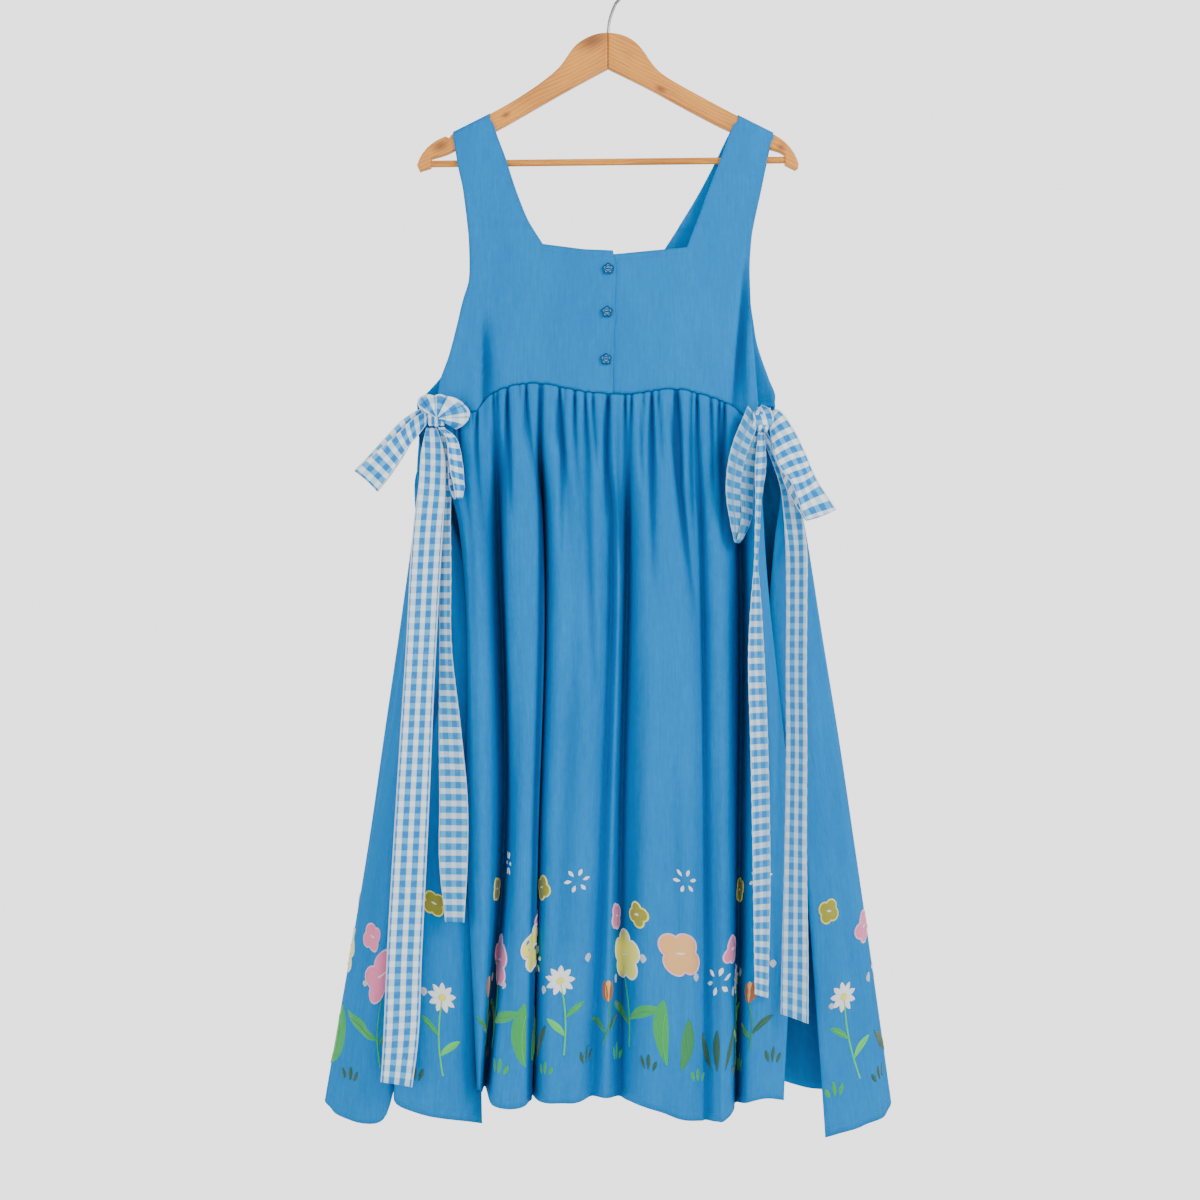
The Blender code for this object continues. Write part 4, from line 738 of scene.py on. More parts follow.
def front_half(left):
    """One half of the front bodice: places, flat places, kept cells, lower edge, neck row and the depth of
    its creases, which also sets its painted shade.
    """
    outer, inner, neck_line = HALF_OUTLINES[0 if left else 1]
    strap_columns = np.linspace(0.0, 1.0, FRONT_STRAP_COLUMNS)
    middle_columns = np.linspace(0.0, 1.0, FRONT_MIDDLE_COLUMNS)[1:]
    corner_neck, corner = inner[-1]
    edge_neck = straight(neck_line, outer[4][1])
    rows = strap_rows(outer, inner, strap_columns, -1.0,
                      lambda part: edge_neck + (corner_neck - edge_neck) * part, FRONT_STRAP_ROWS)
    neck_row = len(rows) - 1
    lap = 0.0 if left else PLACKET_LAP
    side_end = outer[-1][1]
    body = []
    for share in np.linspace(0.0, 1.0, FRONT_ROWS):
        edge_drop = edge_neck + (float(through(FRONT_SEAM, side_end)) - edge_neck) * share
        edge_x = float(through(outer, edge_drop))
        seam_x = side_end + (corner - side_end) * strap_columns
        top = edge_neck + (corner_neck - edge_neck) * strap_columns
        strap_x = edge_x + (corner - edge_x) * strap_columns
        strap_drop = top + (through(FRONT_SEAM, seam_x) - SEAM_GAP / 2 - top) * share
        neck_end = float(straight(PLACKET_EDGE, corner_neck)) - lap
        neck = straight(neck_line, corner + (neck_end - corner) * middle_columns)
        end = straight(PLACKET_EDGE, neck + (PLACKET_FOOT - neck) * share) - lap
        middle_x = corner + (end - corner) * middle_columns
        middle_drop = neck + (through(FRONT_SEAM, middle_x) - SEAM_GAP / 2 - neck) * share
        x = np.concatenate([strap_x, middle_x])
        drop = np.concatenate([strap_drop, middle_drop])
        under = 0.0 if left else (CLOTH_WALL + SEAM_GAP) * (1 - smoothstep(x, LAP_FROM, LAP_TO))
        body.append(np.stack([x, drop, under - front_depth(x, drop)], axis=-1))
    width = len(strap_columns) + len(middle_columns)
    straps = np.array([row + [row[-1]] * (width - len(row)) for row in rows[:neck_row]])
    places = up(np.concatenate([straps, np.array(body)]))
    x, drop = places[..., 0], -places[..., 2]
    hollow = creases(BODICE_CREASES, x, drop) * smoothstep(drop, *FRONT_CREASES_BEGIN)
    places[..., 1] += hollow
    places[..., 1] += ripple(x, drop, 0.7 if left else 1.9) * smoothstep(drop, *FRONT_RIPPLES_BEGIN)
    places = seam_allowance(places, 1.0)
    hollow = np.concatenate([hollow, hollow[-len(SEAM_ALLOWANCE):]])
    kept = np.ones((len(places) - 1, width - 1), bool)
    kept[:neck_row, len(strap_columns) - 1:] = False
    flat = np.stack([places[..., 0], places[..., 2] + DEPTH_LAID_FLAT * places[..., 1]], axis=-1)
    return places, flat, kept, np.array(body)[-1, :, :2], neck_row, hollow


def back_whole():
    """The back bodice with both straps: places, flat places, kept cells and neck row."""
    sides = ((BACK_LEFT_SIDE, BACK_LEFT_STRAP), (BACK_RIGHT_SIDE, BACK_RIGHT_STRAP))
    strap_columns = np.linspace(0.0, 1.0, BACK_STRAP_COLUMNS)
    middle_columns = np.linspace(0.0, 1.0, BACK_MIDDLE_COLUMNS)[1:-1]
    straps = [strap_rows(outer, inner, strap_columns, 1.0, lambda part: BACK_NECK, BACK_STRAP_ROWS)
              for outer, inner in sides]
    neck_row = len(straps[0]) - 1
    left_corner, right_corner = (inner[-1][1] for _, inner in sides)
    body = []
    for share in np.linspace(0.0, 1.0, BACK_ROWS):
        parts = []
        for outer, inner in sides:
            corner, foot = inner[-1][1], outer[-1][1]
            edge = float(through(outer, BACK_NECK + (BACK_SIDE_FOOT - BACK_NECK) * share))
            parts.append((edge + (corner - edge) * strap_columns, foot + (corner - foot) * strap_columns))
        middle = left_corner + (right_corner - left_corner) * middle_columns
        x = np.concatenate([parts[0][0], middle, parts[1][0][::-1]])
        seam_x = np.concatenate([parts[0][1], middle, parts[1][1][::-1]])
        drop = BACK_NECK + (back_seam(seam_x) - SEAM_GAP / 2 - BACK_NECK) * share
        body.append(np.stack([x, drop, back_depth(x, drop)], axis=-1))
    upper = []
    for index in range(neck_row):
        left, right = straps[0][index], straps[1][index][::-1]
        upper.append(left + [left[-1]] * len(middle_columns) + right)
    places = up(np.concatenate([np.array(upper), np.array(body)]))
    x, drop = places[..., 0], -places[..., 2]
    mirrored = [(-first, top, -last, foot, far, BACK_CREASE_SHARE * depth, near)
                for first, top, last, foot, near, depth, far in BODICE_CREASES]
    places[..., 1] -= creases(mirrored, x, drop) * smoothstep(drop, *BACK_CREASES_BEGIN)
    places[..., 1] += ripple(x, drop, 2.6) * smoothstep(drop, *BACK_RIPPLES_BEGIN)
    places = seam_allowance(places, -1.0)
    kept = np.ones((len(places) - 1, places.shape[1] - 1), bool)
    kept[:neck_row, len(strap_columns) - 1:-len(strap_columns) + 1] = False
    flat = np.stack([places[..., 0], places[..., 2] - DEPTH_LAID_FLAT * places[..., 1]], axis=-1)
    return places, flat, kept, neck_row


def fine_gather(seats, below, count, longest):
    """How far the gathers' wedge-shaped valleys go in, uneven in place, length, lean, width and depth."""
    run = seats[-1] - seats[0]
    share = (seats - seats[0]) / run
    hollow = np.zeros_like(seats)
    for valley in range(count):
        place = (valley + 0.5 + 0.34 * math.sin(valley * 2.7) + 0.12 * math.sin(valley * 7.9)) / count
        uneven = abs(math.sin(valley * 1.9 + 0.6))
        length = GATHER_LENGTH + longest * uneven**2.2
        lean = GATHER_LEAN * math.sin(valley * 4.3) * below * run / count / 12.0
        width = GATHER_WIDTH + GATHER_WIDENING * min(below, GATHER_WIDEST_AT) * (0.5 + uneven)
        away = (share - place) * run - lean
        grown = 0.55 + 0.45 * min(1.0, below / 10.0)
        deep = (GATHER_DEPTH + GATHER_MORE_DEPTH * uneven) * grown
        hollow += deep * math.exp(-below / length) * np.exp(-np.abs(away / width) ** 1.7)
    return hollow


def valleys(x, level, below):
    """How far the main valleys go in, each along its own fold of the front skirt."""
    hollow = np.zeros_like(x)
    tracks = {fold[0]: fold[1:5] for fold in FRONT_FOLDS}
    for name, depth, left_width, right_width, start, full in DEEP_VALLEYS:
        away = x - skirt_level(tracks[name], level)
        width = np.where(away < 0.0, left_width, right_width)
        hollow += depth * float(smoothstep(below, start, full)) * np.exp(-np.abs(away / width) ** 2.4)
    return hollow


def skirt_levels():
    """The rows of the skirt's mesh: how far below the seam, as a share of the whole, and the level."""
    drops = np.concatenate([np.arange(0.0, CLOSE_ROWS_TO, CLOSE_ROW),
                            np.arange(CLOSE_ROWS_TO, WIDER_ROWS_TO, WIDER_ROW),
                            np.linspace(WIDER_ROWS_TO, SKIRT_LENGTH, LAST_ROWS)])
    for below in drops:
        share = below / SKIRT_LENGTH
        yield below, share, LEVELS[0] + (LEVELS[-1] - LEVELS[0]) * share


def front_panel(left_bottom, right_bottom):
    """Places of the front skirt, and the painted shade of its gathers, valleys, creases and seam, in
    millimetres of hollow.
    """
    knots = [fold[1] for fold in FRONT_FOLDS]
    seats = np.linspace(knots[0], knots[-1], FRONT_GATHERS * COLUMNS_PER_GATHER + 1)
    hem = through([(fold[1], fold[6]) for fold in FRONT_FOLDS], seats)
    seam = SEAM_GAP + lower_edge(left_bottom, right_bottom, seats)
    rows, painted_shades = [], []
    for below, share, level in skirt_levels():
        valley = float(through(FRONT_RELIEF, level, 1))
        ridge = float(through(FRONT_RELIEF, level, 2))
        xs = [skirt_level(fold[1:5], level) for fold in FRONT_FOLDS]
        ys = [valley + (ridge - valley) * fold[5] for fold in FRONT_FOLDS]
        x = through(list(zip(knots, xs)), seats)
        y = through(list(zip(knots, ys)), seats) - FRONT_SIDE_RECESS * (x / FRONT_HALF) ** 2
        blend = float(smoothstep(below, 0.0, FRONT_BLEND))
        depth = front_depth(seats, seam) * (1 - blend) + y * blend + puff(below)
        x = seats * (1 - blend) + x * blend
        gathered = fine_gather(seats, below, FRONT_GATHERS, FRONT_GATHER_LENGTH)
        deep = valleys(x, level, below)
        depth += GATHER_LIFT - gathered - deep
        # Painted shade in the gathers, the main valleys and along the seam; that of the creases is added at
        # the end
        painted_shades.append(gathered * GATHER_SHADE + deep * VALLEY_SHADE + SEAM_SHADE * (below == 0.0))
        rows.append(np.stack([x, seam + (hem - seam) * share, -depth], axis=-1))
    places = up(rows)
    x, drop = places[..., 0], -places[..., 2]
    soft = skirt_creases(x, drop)
    places[..., 1] += soft + SKIRT_RIPPLE * ripple(x, drop, 0.3)
    pinch_hem(places, np.array([0.0, 1.0, 0.0]))
    return places, np.array(painted_shades) + soft * CREASE_SHADE


def pinch_hem(places, inward):
    """A faint hollow along the hem's stitches, and the folded edge a little proud below them."""
    height = np.linalg.norm(places[-1][None] - places, axis=-1)
    places += (HEM_PINCH * np.exp(-(((height - HEM_STITCHES) / 1.6) ** 2)))[..., None] * inward
    places -= (HEM_PINCH * np.exp(-((height / 5.0) ** 2)))[..., None] * inward


def back_panel():
    """Places of the back skirt, and the painted shade of its gathers, folds and seam, in millimetres of
    hollow.
    """
    folds = list(BACK_LEFT_FOLDS) + hidden_folds() + list(BACK_RIGHT_FOLDS)
    centre, _, half_width, _ = BACK_OVAL[0][1:]
    knots = [centre + half_width * math.cos(math.radians(fold[1])) for fold in folds]
    seats = np.linspace(knots[0], knots[-1], BACK_GATHERS * COLUMNS_PER_GATHER + 1)
    outward = np.where(np.abs(seats - centre) < half_width * 0.93, 1.0, 0.5)
    hem = through([(knot, fold[6]) for knot, fold in zip(knots, folds)], seats)
    seam = back_seam(seats) + SEAM_GAP / 2
    relief = through([(knot, fold[5]) for knot, fold in zip(knots, folds)], seats)
    rows, painted_shades = [], []
    for below, share, level in skirt_levels():
        turn = [skirt_level(fold[1:5], level) for fold in folds]
        angle = np.radians(through(list(zip(knots, turn)), seats))
        growth = float(through(BACK_GROWTH, level))
        wave = BACK_WAVE * np.sin(angle * 23.0 + 0.004 * level) * np.sin(angle * 7.0 + 1.0)
        reach = (relief + wave) * growth
        cx, cy, a, b = (float(through(BACK_OVAL, level, column)) for column in (1, 2, 3, 4))
        blend = float(smoothstep(below, 0.0, BACK_BLEND))
        x = seats * (1 - blend) + (cx + (a + reach) * np.cos(angle)) * blend
        y = back_depth(seats, seam) * (1 - blend) + (cy + (b + reach) * np.sin(angle)) * blend
        gathered = fine_gather(seats, below, BACK_GATHERS, BACK_GATHER_LENGTH)
        y += outward * (puff(below) + GATHER_LIFT - gathered)
        # Painted shade in the inward folds, the gathers and along the seam
        folded = np.clip(-reach - 2.0, 0.0, 4.0) * blend
        painted_shades.append(gathered * GATHER_SHADE + folded + SEAM_SHADE * (below == 0.0))
        rows.append(np.stack([x, seam + (hem - seam) * share, y], axis=-1))
    return up(rows), np.array(painted_shades)


class Cloth:
    """A skirt panel as flat cloth: along is measured on its surface near the hem, height up from the hem."""

    def __init__(self, places, outward, level_row):
        self.places = places
        across = np.gradient(places, axis=1)
        down = np.gradient(places, axis=0)
        normal = np.cross(down, across) * outward
        self.normals = normal / np.maximum(np.linalg.norm(normal, axis=-1), 1e-9)[..., None]
        steps = np.linalg.norm(np.diff(places[level_row], axis=0), axis=-1)
        self.along = np.concatenate([[0.0], np.cumsum(steps)])
        fall = np.linalg.norm(np.diff(places, axis=0), axis=-1)
        run = np.concatenate([np.zeros((1, places.shape[1])), np.cumsum(fall, axis=0)])
        self.length = run[-1]
        self.shares = run.mean(axis=1) / run[-1].mean()

    def flat(self):
        height = (1 - self.shares)[:, None] * self.length[None, :]
        return np.stack([np.broadcast_to(self.along, height.shape), height], axis=-1)

    def at(self, along, height, lift):
        """Places on the cloth's outer face, lifted by some millimetres."""
        column = np.interp(along, self.along, np.arange(len(self.along)))
        near = np.interp(column, np.arange(len(self.along)), self.length)
        row = np.interp(1 - height / near, self.shares, np.arange(len(self.shares)))
        i = np.clip(row.astype(int), 0, self.places.shape[0] - 2)
        j = np.clip(column.astype(int), 0, self.places.shape[1] - 2)
        a, b = (row - i)[:, None], (column - j)[:, None]
        weights = ((i, j, (1 - a) * (1 - b)), (i + 1, j, a * (1 - b)),
                   (i, j + 1, (1 - a) * b), (i + 1, j + 1, a * b))
        place = sum(self.places[k, m] * w for k, m, w in weights)
        normal = sum(self.normals[k, m] * w for k, m, w in weights)
        normal /= np.linalg.norm(normal, axis=-1)[:, None]
        return place + normal * lift[:, None]


class Needlework:
    """Patches of thread and of sewn-on cloth, laid out flat before they go on a panel."""

    def __init__(self):
        self.spots, self.faces, self.colours, self.threads = [], [], [], []
        self.total = 0

    def add(self, spots, lifts, faces, colour, threads):
        count = len(spots)
        self.spots.append(np.column_stack([spots, lifts]))
        self.faces.append(np.asarray(faces) + self.total)
        self.colours.append(np.tile((*colour, 1.0), (count, 1)))
        self.threads.append(threads)
        self.total += count

    def satin(self, middle, half, colour, lift=0.9):
        """A band of satin stitches round a middle line, its threads running across."""
        middle = np.asarray(middle, float)
        half = np.broadcast_to(half, len(middle))
        along = np.gradient(middle, axis=0)
        side = np.column_stack([-along[:, 1], along[:, 0]]) / np.linalg.norm(along, axis=1)[:, None]
        run = np.concatenate([[0.0], np.cumsum(np.linalg.norm(np.diff(middle, axis=0), axis=1))])
        parts = np.array(SATIN_COLUMNS)
        spots = middle[:, None] + side[:, None] * (parts[None, :, None] * half[:, None, None])
        dome = np.sqrt(1 - parts**2 * 0.98) * lift
        lifts = np.tile(dome, len(middle)) + CLOTH_THICKNESS / 2 - THREAD_SUNK
        threads = np.stack(np.broadcast_arrays(parts[None] * half[:, None], run[:, None]), axis=-1)
        faces = grid_quads(len(middle), len(parts)).reshape(-1, 4)
        self.add(spots.reshape(-1, 2), lifts, faces, colour, threads.reshape(-1, 2))

    def patch(self, outline, centre, colour, lift=0.7):
        """A sewn-on piece of cloth with its edge turned down."""
        outline, centre = np.asarray(outline, float), np.asarray(centre, float)
        rings, heights = np.array(PATCH_RINGS).T
        spots = centre + (outline[None] - centre) * rings[:, None, None]
        lifts = np.repeat(heights * lift, len(outline)) + CLOTH_THICKNESS / 2
        flat = spots.reshape(-1, 2)
        self.add(flat, lifts, grid_quads(len(rings), len(outline)).reshape(-1, 4), colour, flat)

    def onto(self, name, cloth, look, middle):
        spots = np.concatenate(self.spots)
        places = cloth.at(spots[:, 0] + middle, spots[:, 1], spots[:, 2])
        mesh = mesh_of(name, places, np.concatenate(self.faces).tolist())
        lay_flat(mesh, np.concatenate(self.threads))
        colours = mesh.color_attributes.new("thread_colour", "FLOAT_COLOR", "POINT")
        colours.data.foreach_set("color", np.concatenate(self.colours).astype(np.float32).ravel())
        return add_piece(name, mesh, look)


def bent(start, turn, length, bend=0.0, count=9):
    """A gently bent line from a point, with its direction in degrees up from the right."""
    angles = np.radians(turn + bend * np.linspace(0.0, 1.0, count))
    steps = np.stack([np.cos(angles), np.sin(angles)], axis=1) * length / (count - 1)
    return np.asarray(start, float) + np.concatenate([[[0.0, 0.0]], np.cumsum(steps[1:], axis=0)])


def petal(work, start, turn, length, width, colour, bend=0.0, count=9):
    line = bent(start, turn, length, bend, count)
    share = np.linspace(0.02, 0.98, count)
    work.satin(line, width / 2 * np.sin(np.pi * share**1.15) ** 0.7, colour)


def ring(centre, radius, wave=0.0, lobes=5, turn=0.0, count=60):
    angles = np.linspace(0.0, math.tau, count + 1)
    reach = radius * (1 - wave + wave * np.abs(np.cos(lobes / 2 * (angles - turn))) ** 0.7)
    return np.asarray(centre, float) + np.stack([reach * np.cos(angles), reach * np.sin(angles)], axis=1)


def seed_head(work, centre, size, colour):
    """White or yellow petals set apart round an empty middle."""
    for index in range(6):
        turn = 60.0 * index + 12.0
        way = np.array((math.cos(math.radians(turn)), math.sin(math.radians(turn))))
        petal(work, np.asarray(centre) + 0.42 * size * way, turn, 0.58 * size, 0.30 * size, colour, 0.0, 6)


def daisy(work, centre, size, colour, eye):
    for index in range(9):
        petal(work, centre, 40.0 * index + 8.0, size, 0.42 * size, colour, 0.0, 7)
    work.patch(ring(centre, 0.26 * size, count=16), centre, eye, 1.6)


def blossom(work, centre, size, cloth, edge, lobes, turn):
    """A sewn-on blossom with round lobes, a satin edge and a short bar of thread in its middle."""
    outline = ring(centre, size, 0.30, lobes, math.radians(turn), 96)
    work.patch(outline, centre, cloth)
    work.satin(outline, 1.1, edge, 1.3)
    line = bent(np.asarray(centre) - (0.22 * size, 0.0), turn / 6, 0.44 * size, 10.0, 5)
    work.satin(line, np.array((0.4, 1.3, 1.6, 1.3, 0.4)), WHITE, 1.9)


def cup_flower(work, centre, size, colour, edge):
    """Three upright petals in a cup."""
    base = np.asarray(centre) - (0.0, 0.5 * size)
    for turn, bend, tone in ((125.0, -42.0, colour), (55.0, 42.0, colour), (90.0, 0.0, edge)):
        petal(work, base, turn, 1.15 * size, 0.55 * size, tone, bend, 11)


def leaf(work, start, turn, length, colour, vein, bend=0.0):
    petal(work, start, turn, length, 0.26 * length, colour, bend, 11)
    work.satin(bent(start, turn, 0.8 * length, bend, 7), 0.45, vein, 1.6)


def stem(work, foot, head, colour, side_leaves):
    foot, head = np.asarray(foot, float), np.asarray(head, float)
    share = np.linspace(0.0, 1.0, 13)[:, None]
    bow = np.sin(np.pi * share) * 4.0
    line = foot + (head - foot) * share + np.concatenate([bow, 0 * bow], axis=1)
    work.satin(line, 0.95, colour, 1.1)
    for at, turn, length, tone in side_leaves:
        leaf(work, line[at], turn, length, tone, colour, 18.0 if turn > 90 else -18.0)


def grass(work, foot, size, colour):
    for shift, turn, share in ((-5.0, 112.0, 0.8), (0.0, 92.0, 1.0), (6.0, 74.0, 0.7)):
        petal(work, (foot[0] + shift, foot[1]), turn, size * share, 5.0, colour, -8.0, 7)


def dot(work, centre, size, colour):
    petal(work, (centre[0], centre[1] - size / 2), 90.0, size, 0.9 * size, colour, 0.0, 8)


def meadow(width, seed):
    """A border of plain garden flowers of our own layout: tall ones in turn, small ones over them."""
    draw = np.random.default_rng(seed)
    work = Needlework()
    count = round(width / MEADOW_STEP)
    step = width / count
    cloths = ((PINK, PALE_PINK), (CREAM_YELLOW, WHITE), (PEACH, PALE_PINK), (DEEP_PINK, PINK))
    for index in range(count):
        at = -width / 2 + step * (index + 0.5) + draw.uniform(-7.0, 7.0)
        low = draw.uniform(50.0, 64.0)
        kind = (index * 2 + seed) % 5
        lean = draw.uniform(-16.0, 16.0)
        cloth, edge = cloths[(index + seed) % 4]
        if kind == 0:
            tall = draw.uniform(92.0, 110.0)
            stem(work, (at, low), (at + lean, low + tall - 26.0), BRIGHT_GREEN,
                 ((4, 142.0, 44.0, MID_GREEN), (5, 38.0, 50.0, BRIGHT_GREEN)))
            blossom(work, (at + lean, low + tall), 29.0, cloth, edge, 5, draw.uniform(0.0, 60.0))
        elif kind == 1:
            tall = draw.uniform(74.0, 96.0)
            stem(work, (at, low - 6.0), (at - lean, low + tall), LIGHT_GREEN,
                 ((3, 128.0, 30.0, LIGHT_GREEN), (6, 50.0, 28.0, BRIGHT_GREEN)))
            daisy(work, (at - lean, low + tall), 17.0, WHITE, CREAM_YELLOW)
        elif kind == 2:
            leaf(work, (at - 10.0, low - 8.0), 112.0, 74.0, BRIGHT_GREEN, LIGHT_GREEN, -34.0)
            leaf(work, (at + 8.0, low - 8.0), 70.0, 60.0, MID_GREEN, BRIGHT_GREEN, 22.0)
            blossom(work, (at + 4.0, low + 122.0), 26.0, cloth, edge, 4, draw.uniform(20.0, 70.0))
        elif kind == 3:
            tall = draw.uniform(58.0, 70.0)
            stem(work, (at, low), (at + 0.4 * lean, low + tall - 12.0), MID_GREEN,
                 ((3, 135.0, 32.0, MID_GREEN), (4, 46.0, 30.0, DARK_GREEN)))
            cup_flower(work, (at + 0.4 * lean, low + tall), 21.0, OCHRE, PEACH)
        else:
            for shift, turn in ((-12.0, 118.0), (-2.0, 96.0), (9.0, 70.0)):
                petal(work, (at + shift, low - 4.0), turn, 46.0, 10.0, DARK_GREEN, -12.0, 10)
            seed_head(work, (at, low + draw.uniform(96.0, 128.0)), 17.0, WHITE)
        green = (DARK_GREEN, BRIGHT_GREEN)[index % 2]
        grass(work, (at + step / 2, low - 18.0), draw.uniform(14.0, 20.0), green)
        high = draw.uniform(205.0, 262.0)
        if index % 3 == 0:
            blossom(work, (at + 18.0, high), 14.0, MUSTARD, CREAM_YELLOW, 4, draw.uniform(0.0, 80.0))
        elif index % 3 == 1:
            seed_head(work, (at + 8.0, high + 10.0), 14.0, WHITE)
        else:
            blossom(work, (at + 22.0, high - 22.0), 16.0, PINK, PALE_PINK, 4, draw.uniform(0.0, 80.0))
        dot(work, (at + step * 0.42, low + draw.uniform(66.0, 120.0)), draw.uniform(7.0, 11.0), SILVER)
    return work


def ribbon_rows(stations, step, columns, slant):
    """Fine rows of a ribbon through its stations, softly bowed across and a little puckered."""
    places = np.array(stations, float)
    middle = (places[:, :3] + places[:, 3:]) / 2
    run = np.concatenate([[0.0], np.cumsum(np.linalg.norm(np.diff(middle, axis=0), axis=1))])
    at = np.linspace(0.0, run[-1], max(12, round(run[-1] / step)))
    edges = [through(list(zip(run, places[:, k])), at) for k in range(6)]
    first, second = np.stack(edges[:3], axis=1), np.stack(edges[3:], axis=1)
    along = np.gradient((first + second) / 2, axis=0)
    normal = np.cross(second - first, along)
    normal /= np.linalg.norm(normal, axis=1)[:, None]
    parts = np.linspace(0.0, 1.0, columns)
    spots = first[:, None] + (second - first)[:, None] * parts[None, :, None]
    spread = np.linalg.norm(second - first, axis=1)[:, None]
    folded = np.clip(1.0 - spread / RIBBON_WIDTH, 0.0, 1.0)
    edge = np.abs(2 * parts - 1)
    lengthwise = np.cos(parts * math.tau * 2.5 + at[:, None] * 0.02) * np.minimum(folded * 1.6, 1.0)
    pucker = RIBBON_PUCKER * np.sin(at[:, None] * 0.42 + parts * 5.0) * np.sin(at[:, None] * 0.09 + 1.0)
    height = RIBBON_WALL * np.sin(np.pi * parts) + RIBBON_FOLD * lengthwise + pucker * edge
    spots = spots + normal[:, None] * height[..., None]
    shown = np.clip(spread * 1.04, RIBBON_FOLDED, RIBBON_WIDTH)
    across = (parts - 0.5)[None] * shown
    slip = slant * (1.0 - SLANT_LOST * smoothstep(at / run[-1], *SLANT_FADES))
    flat = np.stack(np.broadcast_arrays(across, at[:, None] + slip[:, None] * across), axis=-1)
    return up(spots), flat, run[-1], np.broadcast_to(edge, flat.shape[:2])


def ribbon_piece(node, stations, look, columns, step):
    """One part of a bow, from its solid's stations, with the shade that its place in the bow gives it."""
    places, flat, length, edge = ribbon_rows(stations, step, columns, SLANTED_CHECKS.get(node, 0.0))
    even, fold, fold_place = SHADED_RIBBONS.get(node, (0.0, 0.0, 0.5))
    from_fold = (np.linspace(0.0, 1.0, columns) - fold_place) / SHADED_FOLD_SHARE
    shade = np.broadcast_to(even + fold * np.exp(-from_fold**2), edge.shape)
    made = grid_object(node.replace("_", "_bow_", 1), places, flat, look, RIBBON_THICKNESS,
                       marks={"edge": edge, "shade": shade})
    finish_piece(made, "gingham_cotton", node)
    widths = [math.dist(row[:3], row[3:]) for row in stations]
    width = max(LEAST_CUT, min(RIBBON_WIDTH, sum(widths) / len(widths) * 1.05))
    width * MM
    node.split("_")[0] + "_knot"


def finish_piece(made, slot, *nodes):
    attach(made, "root")
    if nodes:
        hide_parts(*nodes)


def tie_stations(left):
    """The same gathered tie ends as in the solids, from the garment's corners to the back of the knot."""
    x, drop, y, _, _, depth, _ = LEFT_KNOT if left else RIGHT_KNOT
    front_x, front_drop, back_x, back_drop, way = TIE_CORNERS[0 if left else 1]
    front_drop += 5.0
    back_drop += 8.0 if left else 17.0
    back_of_knot = y + depth / 2 + SEAM_GAP + RIBBON_WALL / 2 + SEAT_CLEAR
    lift = CLOTH_WALL / 2 + RIBBON_WALL / 2 + SEAM_GAP
    near, far = [], []
    for spread in (-1.0, 1.0):
        at, low = front_x + 3.0 * spread, front_drop + 2.0 * spread
        near.extend((at, low, -float(front_depth(at, low)) - lift - TIE_CLEAR))
        at, low = back_x + 4.0 * spread, back_drop + 1.0 * spread
        far.extend((at, low, float(back_depth(at, low)) - lift - BACK_TIE_CLEAR))
    front = [near,
             (x - 4, drop - 8, y + depth / 2 + 5, x + 4, drop + 2, y + depth / 2 + 5),
             (x - 4, drop - 4, back_of_knot, x + 4, drop + 4, back_of_knot)]
    way += x
    side = -4 if left else 4
    back = [far,
            (way - 3 + side, drop - 16, -8, way + 3 + side, drop - 8, -8),
            (way - 3, drop - 2, back_of_knot, way + 3, drop + 5, back_of_knot)]
    return front, back


def knot_core(name, core, look):
    """The wrapped middle of a bow: a soft block with the lengthwise folds of the turned ribbon."""
    x, drop, y, width, height, depth, tilt = core
    rings, spokes = 33, 64
    turn = np.linspace(0.0, math.tau, spokes)
    up_down, near_far = (np.sign(wave) * np.abs(wave) ** 0.75 for wave in (np.sin(turn), np.cos(turn)))
    rows = []
    for across in np.linspace(-1.0, 1.0, rings):
        end = (1 - min(0.9995, abs(across)) ** CORE_SQUARENESS) ** (1 / CORE_SQUARENESS)
        fold = 1.0 + 0.06 * math.cos(across * 9.0) - 0.05 * math.cos(across * 21.0)
        high = up_down * height / 2 * end * fold
        out = near_far * depth / 2 * end * fold
        rows.append(np.stack([np.full(spokes, across * width / 2), -out, high], axis=-1))
    places = turned_about(np.array(rows), 0, 2, math.radians(-tilt)) + np.array([x, y, -drop])
    around = np.linspace(0.0, math.pi * (height + depth) / 2, spokes)
    flat = np.stack(np.broadcast_arrays(np.linspace(-0.5, 0.5, rings)[:, None] * RIBBON_WIDTH,
                                        around[None]), axis=-1)
    return grid_object(name, places, flat, look, 0.0)


def knot_fan(name, core, look):
    """The shell-shaped spread over the left knot: broad pleats, each lapped over the next at its edge."""
    x, drop, y, _, _, depth, _ = core
    angles = np.concatenate([start + (end - start) * np.linspace(0.0, 0.999, PLEAT_COLUMNS)
                             for start, end in zip(FAN_EDGES[:-1], FAN_EDGES[1:])])
    part = np.tile(np.linspace(0.0, 1.0, PLEAT_COLUMNS), len(FAN_EDGES) - 1)[None]
    reach = through(FAN_OUTLINE, angles)
    share = np.linspace(0.07, 1.0, FAN_ROWS)[:, None]
    lap = part ** 1.6 * (1 - smoothstep(part, 0.90, 1.0))
    bulge = np.sin(np.pi * part)
    turn = np.radians(angles)[None]
    dome = FAN_DOME * share**2.2 - depth / 2 - FAN_WALL * 0.3
    lift = share**0.7 * (FAN_LAP * lap + FAN_BULGE * bulge)
    wide = reach * share * (1.0 + 0.02 * bulge)
    places = np.stack([x + 1.0 + wide * np.cos(turn), y + dome - lift,
                       -drop - 1.0 + wide * np.sin(turn)], axis=-1)
    flat = np.stack(np.broadcast_arrays(turn * FAN_CHECK_RADIUS, reach * share), axis=-1)
    edge = np.broadcast_to(share, flat.shape[:2])
    shade = np.broadcast_to(PLEAT_SHADE * np.exp(-((part - 0.95) / 0.06) ** 2), flat.shape[:2])
    return grid_object(name, places, flat, look, RIBBON_THICKNESS, marks={"edge": edge, "shade": shade})


